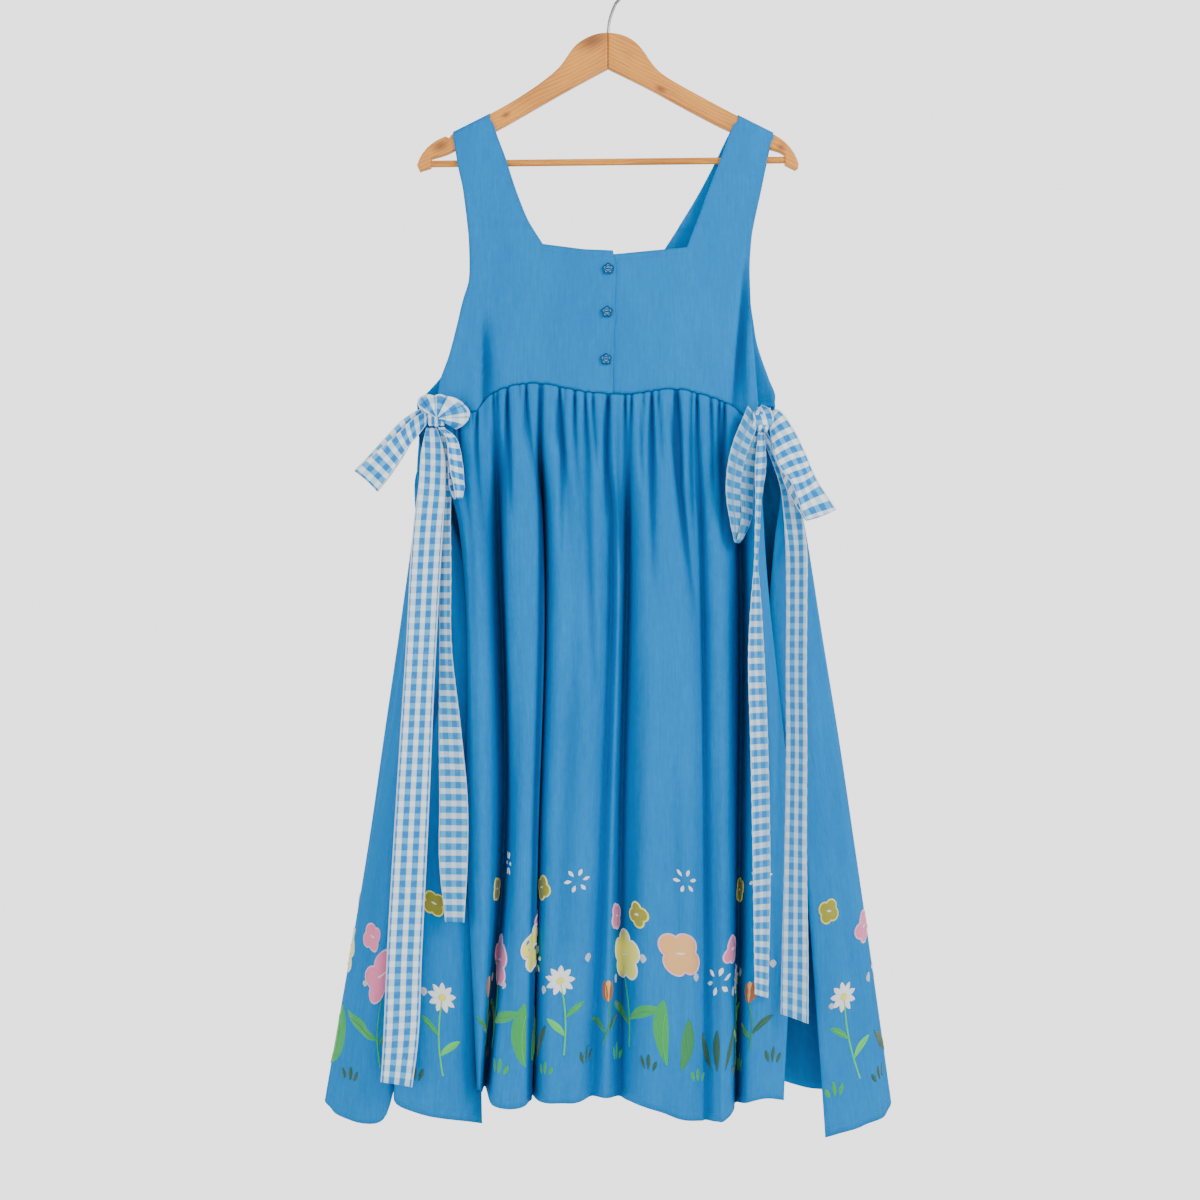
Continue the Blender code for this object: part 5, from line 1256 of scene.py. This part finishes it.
def button_rim(name, place, tilt, look):
    """The raised petal edge and the raised ring round the two holes, on the button's face."""
    spots, faces, total = [], [], 0

    def add(x, y, z):
        nonlocal total
        grid = np.stack(np.broadcast_arrays(x, y, z), axis=-1)
        spots.append(grid.reshape(-1, 3))
        faces.append(grid_quads(*grid.shape[:2]).reshape(-1, 4) + total)
        total += grid.shape[0] * grid.shape[1]

    face = -BUTTON_THICKNESS / 2
    turn = np.linspace(0.0, math.tau, 61)[:, None]
    around = np.linspace(0.0, math.tau, 9)[None]
    for radius, wave, tube in BUTTON_RINGS:
        out = radius * (1 - wave + wave * np.cos(5 * turn)) + tube * np.cos(around)
        add(out * np.sin(turn), face - tube * 0.8 * np.sin(around), out * np.cos(turn))
    thread = np.linspace(-1.0, 1.0, 9)[:, None]
    around = np.linspace(0.0, math.tau, 7)[None]
    for low in BUTTON_THREADS:
        add(thread * BUTTON_HOLE_OUT, face - 0.55 * (1 - thread**2) - BUTTON_THREAD_RADIUS * np.sin(around),
            low + BUTTON_THREAD_RADIUS * np.cos(around))
    places = turned_about(np.concatenate(spots), 1, 2, -tilt) + np.array(place)
    return add_piece(name, mesh_of(name, places, np.concatenate(faces).tolist()), look)


def softened(outline):
    """The outline with its gentle corners cut twice, so that its curves are smooth; sharp corners stay."""
    spots = np.array(outline, float)
    for _ in range(2):
        before, after = np.roll(spots, 1, axis=0), np.roll(spots, -1, axis=0)
        into, away = spots - before, after - spots
        turn = np.arctan2(into[:, 0] * away[:, 1] - into[:, 1] * away[:, 0], (into * away).sum(axis=1))
        cut = []
        for spot, back, ahead, bend in zip(spots, before, after, turn):
            if abs(bend) < ARM_SHARP:
                cut.extend((spot + (back - spot) * CORNER_CUT, spot + (ahead - spot) * CORNER_CUT))
            else:
                cut.append(spot)
        spots = np.array(cut)
    return spots


def arm_board(name, outline, look):
    """One arm of the hanger: its outline as a flat board with lightly rounded edges."""
    spots = softened(outline)
    count = len(spots)
    into = spots - np.roll(spots, 1, axis=0)
    away = np.roll(spots, -1, axis=0) - spots
    into /= np.linalg.norm(into, axis=1)[:, None]
    away /= np.linalg.norm(away, axis=1)[:, None]
    along = into + away
    along /= np.linalg.norm(along, axis=1)[:, None]
    wide = 1.0 / np.maximum(0.6, (along * into).sum(axis=1))
    area = (spots[:, 0] * np.roll(spots[:, 1], -1) - np.roll(spots[:, 0], -1) * spots[:, 1]).sum()
    inward = np.stack([-along[:, 1], along[:, 0]], axis=-1) * np.sign(area) * wide[:, None]
    rings = []
    for inset, depth in ARM_EDGE + tuple((step, -deep) for step, deep in reversed(ARM_EDGE)):
        ring = spots + inward * inset
        rings.append(np.stack([ring[:, 0], np.full(count, -depth), -ring[:, 1]], axis=-1))
    index = np.arange(len(rings) * count).reshape(len(rings), count)
    following = np.roll(index, -1, axis=1)
    quads = np.stack([index[:-1], index[1:], following[1:], following[:-1]], axis=-1).reshape(-1, 4).tolist()
    faces = [index[0].tolist()] + [quad[::-1] for quad in quads] + [index[-1].tolist()[::-1]]
    if area < 0:
        faces = [face[::-1] for face in faces]
    mesh = mesh_of(name, np.concatenate(rings), faces)
    mesh.set_sharp_from_angle(angle=math.radians(50.0))
    return add_piece(name, mesh, look)


def glue_line(name, look):
    """The thin dark line where the two arms are glued together."""
    low, high = GLUE_LINE
    spots = [(x, y, z) for z in (low[2], high[2]) for x, y in ((low[0], low[1]), (high[0], low[1]),
                                                               (high[0], high[1]), (low[0], high[1]))]
    faces = [(3, 2, 1, 0), (4, 5, 6, 7), (0, 1, 5, 4), (1, 2, 6, 5), (2, 3, 7, 6), (3, 0, 4, 7)]
    return add_piece(name, mesh_of(name, spots, faces, smooth=False), look)


def round_plug(name, x, drop, way, look):
    """The end of the hanger's bar inside the arm, as one short tube."""
    along = np.array([-PLUG_LAP, PLUG_REACH])
    turn = np.linspace(0.0, math.tau, 33)
    radius = BAR_DIAMETER / 2 - PLUG_SLACK
    spots = np.stack(np.broadcast_arrays(x + way * along[:, None], radius * np.cos(turn)[None],
                                         -drop + radius * np.sin(turn)[None]), axis=-1)
    flat = np.zeros(spots.shape[:2] + (2,))
    return grid_object(name, spots, flat, look, 0.0, turned=way < 0)


def stitch_tree(look):
    """Geometry Nodes that lay one small thread after another along a curve."""
    tree = bpy.data.node_groups.new("stitch_run", "GeometryNodeTree")
    tree.interface.new_socket("Geometry", in_out="INPUT", socket_type="NodeSocketGeometry")
    for name in ("Pitch", "Length", "Radius"):
        tree.interface.new_socket(name, in_out="INPUT", socket_type="NodeSocketFloat")
    tree.interface.new_socket("Geometry", in_out="OUTPUT", socket_type="NodeSocketGeometry")

    def node(kind, settings=(), sockets=()):
        made = tree.nodes.new(kind)
        for setting, value in dict(settings).items():
            setattr(made, setting, value)
        for socket, value in dict(sockets).items():
            if isinstance(value, bpy.types.NodeSocket):
                tree.links.new(value, made.inputs[socket])
            else:
                made.inputs[socket].default_value = value
        return made

    start = node("NodeGroupInput")
    spaced = node("GeometryNodeResampleCurve", {"mode": "LENGTH"},
                  {"Curve": start.outputs["Geometry"], "Length": start.outputs["Pitch"]})
    thread = node("GeometryNodeMeshUVSphere", (), {"Segments": 6, "Rings": 5, "Radius": 1.0})
    tangent = node("GeometryNodeInputTangent")
    aim = node("FunctionNodeAlignRotationToVector", {"axis": "X"}, {"Vector": tangent.outputs["Tangent"]})
    half = node("ShaderNodeMath", {"operation": "MULTIPLY"}, {0: start.outputs["Length"], 1: 0.5})
    size = node("ShaderNodeCombineXYZ", (), {"X": half.outputs[0], "Y": start.outputs["Radius"],
                                             "Z": start.outputs["Radius"]})
    copies = node("GeometryNodeInstanceOnPoints", (),
                  {"Points": spaced.outputs["Curve"], "Instance": thread.outputs["Mesh"],
                   "Rotation": aim.outputs["Rotation"], "Scale": size.outputs["Vector"]})
    real = node("GeometryNodeRealizeInstances", (), {"Geometry": copies.outputs["Instances"]})
    paint = node("GeometryNodeSetMaterial", (), {"Geometry": real.outputs["Geometry"], "Material": look})
    end = node("NodeGroupOutput")
    tree.links.new(paint.outputs["Geometry"], end.inputs["Geometry"])
    return tree


def stitches(name, runs, tree, look):
    """Rows of stitches through the given places, as one plain mesh."""
    curve = bpy.data.curves.new(name, "CURVE")
    curve.dimensions = "3D"
    for run in runs:
        spline = curve.splines.new("POLY")
        spline.points.add(len(run) - 1)
        spline.points.foreach_set("co", np.column_stack([run * MM, np.ones(len(run))]).ravel())
    guide = add_object(name, curve)
    modifier = guide.modifiers.new("Stitches", "NODES")
    modifier.node_group = tree
    sizes = {"Pitch": STITCH_PITCH, "Length": STITCH_LENGTH, "Radius": STITCH_RADIUS}
    for item in tree.interface.items_tree:
        if item.in_out == "INPUT" and item.name in sizes:
            modifier[item.identifier] = sizes[item.name] * MM
    bpy.context.view_layer.update()
    shaped = guide.evaluated_get(bpy.context.evaluated_depsgraph_get())
    mesh = bpy.data.meshes.new_from_object(shaped)
    bpy.data.objects.remove(guide)
    mesh.name = name
    mesh.shade_smooth()
    return add_piece(name, mesh, look)


class Number:
    """A shader socket that takes part in sums: each operator adds its Math node."""

    def __init__(self, nodes, socket):
        self.nodes, self.socket = nodes, socket

    def sum(self, operation, *others):
        return self.nodes.node("ShaderNodeMath", {"operation": operation}, enumerate((self, *others)))

    def reflected(self, operation, first):
        return self.nodes.node("ShaderNodeMath", {"operation": operation}, {0: first, 1: self})

    def __add__(self, other):
        return self.sum("ADD", other)

    def __mul__(self, other):
        return self.sum("MULTIPLY", other)

    def __sub__(self, other):
        return self.sum("SUBTRACT", other)

    def __rsub__(self, other):
        return self.reflected("SUBTRACT", other)

    def __truediv__(self, other):
        return self.sum("DIVIDE", other)

    def __rtruediv__(self, other):
        return self.reflected("DIVIDE", other)

    def __pow__(self, other):
        return self.sum("POWER", other)

    def __rpow__(self, other):
        return self.reflected("POWER", other)

    __radd__ = __add__
    __rmul__ = __mul__


class Nodes:
    """A node tree. One method adds any node: its settings first, then its sockets."""

    def __init__(self, tree):
        self.tree = tree

    def node(self, kind, settings=(), sockets=(), output=0):
        made = self.tree.nodes.new(kind)
        for setting, value in dict(settings).items():
            if setting == "stops":
                self.stops(made.color_ramp, value)
            elif setting == "easing":
                made.color_ramp.interpolation = value
            else:
                setattr(made, setting, value)
        self.fill(made, sockets)
        return Number(self, made.outputs[output])

    def fill(self, made, sockets):
        for socket, value in dict(sockets).items():
            if isinstance(value, Number):
                self.tree.links.new(value.socket, made.inputs[socket])
            else:
                made.inputs[socket].default_value = value

    @staticmethod
    def stops(ramp, stops):
        while len(ramp.elements) > 1:
            ramp.elements.remove(ramp.elements[-1])
        ramp.elements[0].position = stops[0][0]
        ramp.elements[0].color = (*stops[0][1], 1.0)
        for place, colour in stops[1:]:
            ramp.elements.new(place).color = (*colour, 1.0)

    def split(self, vector):
        """The three numbers of a vector."""
        first = self.node("ShaderNodeSeparateXYZ", (), {0: vector})
        return tuple(Number(self, output) for output in first.socket.node.outputs)


class Finish(Nodes):
    """A material and its nodes."""

    def __init__(self, name, roughness=0.8, **constants):
        self.material = bpy.data.materials.new(name)
        self.material.use_nodes = True
        super().__init__(self.material.node_tree)
        self.shader = self.tree.nodes["Principled BSDF"]
        self.set(Roughness=roughness, **constants)

    def set(self, **sockets):
        self.fill(self.shader, {name.replace("_", " "): value for name, value in sockets.items()})

    def flat(self):
        """The cloth's own two directions, in metres."""
        return self.split(self.node("ShaderNodeUVMap", {"uv_map": "flat"}))[:2]

    def place(self):
        """The place on the object, in metres."""
        return self.node("ShaderNodeTexCoord", (), (), 3)

    def mark(self, name):
        """A number that the mesh holds for each of its points."""
        return self.node("ShaderNodeAttribute", {"attribute_name": name}, (), 2)

    def noise(self, vector, scale, detail):
        return self.node("ShaderNodeTexNoise", (), {"Vector": vector, "Scale": scale, "Detail": detail})

    def grain(self, detail, *parts):
        """Noise stretched by its own scale in each direction: number, scale, number, scale and so on."""
        scaled = [value * scale for value, scale in zip(parts[::2], parts[1::2])]
        return self.noise(self.node("ShaderNodeCombineXYZ", (), enumerate(scaled)), 1.0, detail)

    def mix(self, share, first, second):
        colours = {6: (*first, 1.0) if isinstance(first, tuple) else first,
                   7: (*second, 1.0) if isinstance(second, tuple) else second}
        return self.node("ShaderNodeMix", {"data_type": "RGBA"}, {0: share, **colours}, 2)

    def soft(self, value, low, high):
        return self.node("ShaderNodeMapRange", {"interpolation_type": "SMOOTHSTEP"},
                         {"Value": value, "From Min": low, "From Max": high})

    def bump(self, height, strength, distance):
        return self.node("ShaderNodeBump", (), {"Strength": strength, "Distance": distance, "Height": height})


def woven(u, v, pitch):
    """Threads over and under each other, from -1 to 1."""
    turn = math.tau / pitch
    return (u * turn).sum("SINE") * (v * turn).sum("SINE")


def dress_cotton():
    """Brushed plain cotton: fine weave, soft streaks down the cloth, faint crepe mottling, and painted shade
    in its hollows.
    """
    finish = Finish("dress_cotton", 0.82, Sheen_Weight=0.02, Sheen_Roughness=0.5,
                    Sheen_Tint=SHEEN_BLUE, Specular_IOR_Level=0.10)
    u, v = finish.flat()
    weave = woven(u, v, WEAVE_PITCH)
    streaks = finish.grain(3.0, u, 420.0, v, 34.0)
    slubs = finish.grain(2.0, u, 1500.0, v, 160.0)
    mottle = finish.grain(3.0, u, 150.0, v, 110.0)
    patches = finish.grain(2.0, u, 14.0, v, 6.0)
    pale = streaks * 0.40 + slubs * 0.22 + mottle * 0.16 + patches * 0.34 + weave * 0.03 - 0.24
    plain = finish.mix(finish.soft(pale, 0.05, 0.75), BODY_BLUE, BODY_PALE)
    # Painted shade: the colour darkens towards deep blue where the hollow mark is deep, in gathers, valleys,
    # creases and along the seam
    hollow = finish.soft(finish.mark("hollow"), *HOLLOW_RANGE) * PAINTED_SHADE_SHARE
    finish.set(Base_Color=finish.mix(hollow, plain, PAINTED_SHADE_BLUE),
               Roughness=0.76 + streaks * 0.12,
               Normal=finish.bump(weave * 0.35 + slubs * 0.9 + mottle * 0.9, 0.35, 0.0004))
    return finish.material


def gingham_cotton(name, crossways):
    """Checks woven from white and blue threads, stronger one way, with a pale selvedge along the edges."""
    finish = Finish(name, 0.85, Sheen_Weight=0.1, Specular_IOR_Level=0.15)
    u, v = finish.flat()
    ragged = (finish.grain(1.0, u, 2600.0, v, 2600.0) - 0.5) * CHECK_FRAY

    def bands(value, size):
        turn = (value / (2 * size * MM) + ragged).sum("FRACT")
        return finish.soft((turn - 0.5).sum("ABSOLUTE"), *CHECK_EDGE)

    warp, weft = bands(u, CHECK_WIDE), bands(v, CHECK_HIGH)
    if crossways:
        warp, weft = weft, warp
    weave = woven(u, v, RIBBON_WEAVE_PITCH)
    worn = finish.grain(3.0, u, 260.0, v, 240.0)
    threads = finish.grain(1.0, u, 3000.0, v, 500.0)
    white_rows = finish.mix(warp, CHECK_WHITE, CHECK_LIGHT)
    blue_rows = finish.mix(warp, CHECK_PALE, CHECK_BLUE)
    faded = finish.soft(worn + threads * 0.25 + weave * 0.05, 0.62, 1.75)
    cloth = finish.mix(faded, finish.mix(weft, white_rows, blue_rows), CHECK_WHITE)
    edged = finish.mix(finish.soft(finish.mark("edge"), *SELVEDGE) * 0.7, cloth, CHECK_WHITE)
    # Painted shade: ribbons tucked behind others and the folds of the fan's pleats darken towards a shaded
    # blue by their shade mark
    finish.set(Base_Color=finish.mix(finish.mark("shade"), edged, CHECK_SHADE),
               Roughness=0.80 + worn * 0.1,
               Normal=finish.bump(weave * 0.4 + worn * 1.4, 0.35, 0.0004))
    return finish.material


def hanger_wood(name, slope, knots):
    """Honey-coloured wood with streaks of grain along the piece and a few darker knots: x, drop, reach."""
    finish = Finish(name, 0.45, Coat_Weight=0.15, Coat_Roughness=0.35, Specular_IOR_Level=0.4)
    x, y, z = finish.split(finish.place())
    run = x * math.cos(slope) + z * math.sin(slope)
    rise = z * math.cos(slope) - x * math.sin(slope)
    bend = finish.grain(2.0, run, 14.0, rise, 30.0, y, 30.0)
    dark = None
    for spot_x, drop, reach in knots:
        away = ((run - (spot_x * math.cos(slope) - drop * math.sin(slope)) * MM) * 0.55) ** 2.0
        side = (rise - (-spot_x * math.sin(slope) - drop * math.cos(slope)) * MM) ** 2.0
        spot = finish.soft((away + side) ** 0.5, reach * MM, 0.0)
        dark = spot if dark is None else dark + spot
    rings = rise * 1500.0 + bend * 14.0 + y * 500.0
    if dark is not None:
        rings = rings + dark * 3.0
    fine = finish.grain(3.0, run, 55.0, rise, 2600.0, y, 1800.0)
    pores = finish.grain(1.0, run, 160.0, rise, 5200.0, y, 5200.0)
    tone = (rings.sum("SINE") * 0.5 + 0.5) * 0.15 + fine * 0.66 + bend * 0.46 - 0.22
    base = finish.node("ShaderNodeValToRGB", {"stops": WOOD_STOPS}, {0: tone})
    if dark is not None:
        base = finish.mix(dark * 0.8, base, KNOT_BROWN)
    finish.set(Base_Color=base, Roughness=0.38 + fine * 0.2,
               Normal=finish.bump(fine * 0.6 + pores * 0.6, 0.25, 0.0003))
    return finish.material


def clouded(name, tones, scale, detail, rough, rough_more, contrast=None, **constants):
    """A plain material between two tones, with its roughness as uneven as its colour."""
    finish = Finish(name, **constants)
    cloud = finish.noise(finish.place(), scale, detail)
    share = finish.soft(cloud, *contrast) if contrast else cloud
    finish.set(Base_Color=finish.mix(share, *tones), Roughness=rough + cloud * rough_more)
    return finish.material


def hook_steel():
    return clouded("hook_steel", STEEL_GREYS, 900.0, 2.0, 0.28, 0.2, roughness=0.25, Metallic=1.0)


def button_plastic(name, tones):
    return clouded(name, tones, 320.0, 3.0, 0.35, 0.2, (0.3, 0.7), roughness=0.4, Specular_IOR_Level=0.18)


def plain_thread(name, colour):
    shade = tuple(0.7 * part for part in colour)
    return clouded(name, (shade, colour), 2400.0, 1.0, 0.5, 0.2, roughness=0.6, Sheen_Weight=0.2)


def pale_floor():
    return clouded("pale_floor", FLOOR_GREYS, 60.0, 3.0, 0.85, 0.1, roughness=0.9)


def meadow_thread():
    """Satin-stitched thread and sewn-on cloth, coloured by the piece's own attribute."""
    finish = Finish("meadow_thread", 0.45, Sheen_Weight=0.3, Specular_IOR_Level=0.5)
    u, v = finish.flat()
    colour = finish.node("ShaderNodeAttribute", {"attribute_name": "thread_colour"})
    lines = (v * (math.tau / SATIN_PITCH)).sum("SINE")
    fuzz = finish.grain(2.0, u, 900.0, v, 2600.0)
    # Painted sheen: the threads' colour is lighter and darker in stripes at the satin pitch, with random fuzz
    # in its tone
    gloss = finish.mix(finish.soft(lines * 0.25 + fuzz, 0.1, 0.75), *THREAD_GREYS)
    light = finish.node("ShaderNodeMix", {"data_type": "RGBA", "blend_type": "MULTIPLY"},
                        {0: 0.9, 6: colour, 7: gloss}, 2)
    finish.set(Base_Color=light, Roughness=0.38 + fuzz * 0.25,
               Normal=finish.bump(lines * 0.5 + fuzz, 0.5, 0.0003))
    return finish.material


def studio():
    turn = np.linspace(0.0, math.tau, 97)[:-1]
    rim = [(FLOOR_RADIUS * math.cos(a), FLOOR_RADIUS * math.sin(a), FLOOR_HEIGHT) for a in turn]
    floor_mesh = bpy.data.meshes.new("floor")
    floor_mesh.from_pydata(rim, [], [list(range(len(rim)))])
    add_piece("floor", floor_mesh, pale_floor())
    world = bpy.data.worlds.new("studio")
    bpy.context.scene.world = world
    world.use_nodes = True
    nodes = Nodes(world.node_tree)
    height = nodes.split(nodes.node("ShaderNodeTexCoord"))[2]
    level = nodes.node("ShaderNodeMapRange", (), {"Value": height, "From Min": -1.0})
    light = nodes.node("ShaderNodeValToRGB", {"stops": WORLD_STOPS, "easing": "EASE"}, {0: level})
    nodes.fill(nodes.tree.nodes["Background"], {"Color": light, "Strength": WORLD_STRENGTH})
    for name, place, size, power in LAMPS:
        lamp = bpy.data.lights.new(name, "AREA")
        lamp.shape = "DISK"
        lamp.size = size
        lamp.energy = power
        made = add_object(name, lamp)
        made.location = place
        made.rotation_euler = (Vector(AIM) - Vector(place)).to_track_quat("-Z", "Y").to_euler()
    camera = bpy.data.cameras.new("camera")
    camera.angle = 2 * math.atan(VIEW_HALF / VIEW_DISTANCE)
    made = add_object("camera", camera)
    made.location = (VIEW_X, -VIEW_DISTANCE, VIEW_HEIGHT)
    made.rotation_euler = (math.radians(90.0), 0.0, 0.0)
    bpy.context.scene.camera = made


def sew_yokes(dress):
    """The bodice's three pieces. Gives what the panels and the stitches need of them."""
    halves = {}
    for left, name in ((True, "left"), (False, "right")):
        places, flat, kept, bottom, neck_row, hollow = front_half(left)
        # The hollow mark gives the yoke painted shade in its creases
        made = grid_object("yoke_" + name, places, flat, dress, CLOTH_THICKNESS, kept, not left,
                           {"hollow": YOKE_SHADE * hollow})
        finish_piece(made, "dress_cotton", "front_bodice_" + name)
        "hanger_arm_" + name
        halves[name] = (places, neck_row, bottom)
    places, flat, kept, neck_row = back_whole()
    back_yoke = grid_object("yoke_back", places, flat, dress, CLOTH_THICKNESS, kept, True)
    finish_piece(back_yoke, "dress_cotton", "back_bodice")
    return halves, (places, neck_row)


def sew_panels(dress, halves):
    """The two gathered panels, each with its meadow, as cloth that the hem's stitches can follow."""
    bottoms = [sorted(tuple(spot) for spot in halves[name][2]) for name in ("left", "right")]
    meadow_look = meadow_thread()
    panels = (("front_panel", "front_skirt", front_panel(*bottoms), 1.0, (0.55, 0.83), "front_bodice_left"),
              ("back_panel", "back_skirt", back_panel(), -1.0, (0.77, 0.83), "back_bodice"))
    cloths = {}
    for name, node, (places, hollow), outward, cut, above in panels:
        cloth = Cloth(places, outward, WIDTH_ROW)
        # The hollow mark gives the panel its painted shade
        made = grid_object(name, places, cloth.flat(), dress, CLOTH_THICKNESS, None, outward < 0,
                           {"hollow": hollow})
        finish_piece(made, "dress_cotton", node)
        width = cloth.along[-1]
        flowers = meadow(width - MEADOW_FREE, MEADOW_SEEDS[name])
        sewn = flowers.onto(name + "_meadow", cloth, meadow_look, width / 2)
        finish_piece(sewn, "dress_cotton")
        cloths[name] = cloth
    return cloths


def tie_bows():
    gingham = gingham_cotton("gingham_cotton", False)
    turned_gingham = gingham_cotton("gingham_crossways", True)
    for left, side in ((True, "left"), (False, "right")):
        for part, pair in BOW_PARTS.items():
            tail = part.startswith("tail")
            ribbon_piece("%s_%s" % (side, part), pair[0 if left else 1],
                         gingham if part == "tail_long" else turned_gingham,
                         15, 3.0 if tail else 1.6)
        front, back = tie_stations(left)
        ribbon_piece(side + "_tie_front", front if left else RIGHT_TURN, gingham, 9, 1.0)
        ribbon_piece(side + "_tie_back", back, gingham, 9, 1.0)
    core = knot_core("left_bow_core", LEFT_KNOT, gingham)
    fan = knot_fan("left_bow_fan", LEFT_KNOT, gingham)
    right_core = knot_core("right_bow_core", RIGHT_CORE, gingham)
    for made, node in ((core, "left_knot"), (fan, "left_knot"), (right_core, "right_knot")):
        finish_piece(made, "gingham_cotton", node)


def sew_stitches(thread, cloths, halves, back):
    """Rows of stitches along the hems and beside the edges of the bodice's pieces."""
    tree = stitch_tree(thread)
    for name, cloth in cloths.items():
        along = np.arange(2.0, cloth.along[-1] - 2.0, 1.5)
        height, lift = (np.full(len(along), value) for value in (HEM_STITCHES, CLOTH_THICKNESS / 2 + 0.05))
        run = cloth.at(along, height, lift)
        finish_piece(stitches(name + "_hem_stitches", [run], tree, thread), "dress_cotton")
    out = np.array([0.0, -CLOTH_THICKNESS / 2 - 0.1, 0.0])
    first, last = FIRST_STITCHED, LAST_STITCHED
    for name, (places, neck_row, _) in halves.items():
        inner, under = FRONT_STRAP_COLUMNS - 1, neck_row + FIRST_STITCHED
        runs = [places[first:last, 1] + out, places[first:under, inner - 1] + out,
                places[under, inner:-1] + out, places[under:last, -2] + out]
        finish_piece(stitches("yoke_%s_stitches" % name, runs, tree, thread), "dress_cotton")
    places, neck_row = back
    inner, under = BACK_STRAP_COLUMNS - 1, neck_row + FIRST_STITCHED
    runs = [places[first:last, 1] - out, places[first:last, -2] - out, places[under, inner:-inner] - out,
            places[first:under, inner - 1] - out, places[first:under, -inner] - out]
    finish_piece(stitches("yoke_back_stitches", runs, tree, thread), "dress_cotton")


def sew_buttons(frame):
    shell = button_plastic("button_plastic", BUTTON_BLUES)
    rim = button_plastic("button_rim", RIM_BLUES)
    reach = BUTTON_RADIUS - 1.0
    away = CLOTH_WALL / 2 + SEAM_GAP + BUTTON_THICKNESS / 2 + SEAT_CLEAR
    for number, (x, drop) in enumerate(BUTTON_PLACES, start=1):
        tilt = math.atan2(float(front_depth(x, drop + reach) - front_depth(x, drop - reach)), 2 * reach)
        place = (x, -float(front_depth(x, drop)) - away, -drop)
        finish_piece(button_rim("button_rim_%d" % number, place, tilt, rim), "button_plastic")
        paint(frame, "button_%d" % number, shell)


def dress_hanger(frame):
    slope = math.atan(ARM_SLOPE)
    for side, outline, fall in (("left", LEFT_ARM, slope), ("right", RIGHT_ARM, -slope)):
        wood = hanger_wood("hanger_wood_" + side, fall, WOOD_KNOTS[side])
        finish_piece(arm_board("hanger_board_" + side, outline, wood), "hanger_wood", "hanger_arm_" + side)
    finish_piece(glue_line("hanger_glue_line", plain_thread("hanger_glue", GLUE_BROWN)), "hanger_wood")
    bar_wood = hanger_wood("hanger_wood_bar", 0.0, ())
    paint(frame, "hanger_bar", bar_wood)
    for side, (x, drop), way in zip(("left", "right"), BAR_ENDS, (-1.0, 1.0)):
        finish_piece(round_plug("hanger_bar_plug_" + side, x, drop, way, bar_wood), "hanger_wood")
    paint(frame, "hanger_hook", hook_steel())


def paint(frame, node, look):
    for place in frame["nodes"][node].material_slots:
        place.material = look


def main():
    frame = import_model()
    dress = dress_cotton()
    thread = plain_thread("sewing_thread", SEWING_BLUE)
    halves, back = sew_yokes(dress)
    cloths = sew_panels(dress, halves)
    tie_bows()
    sew_stitches(thread, cloths, halves, back)
    sew_buttons(frame)
    dress_hanger(frame)
    studio()


main()
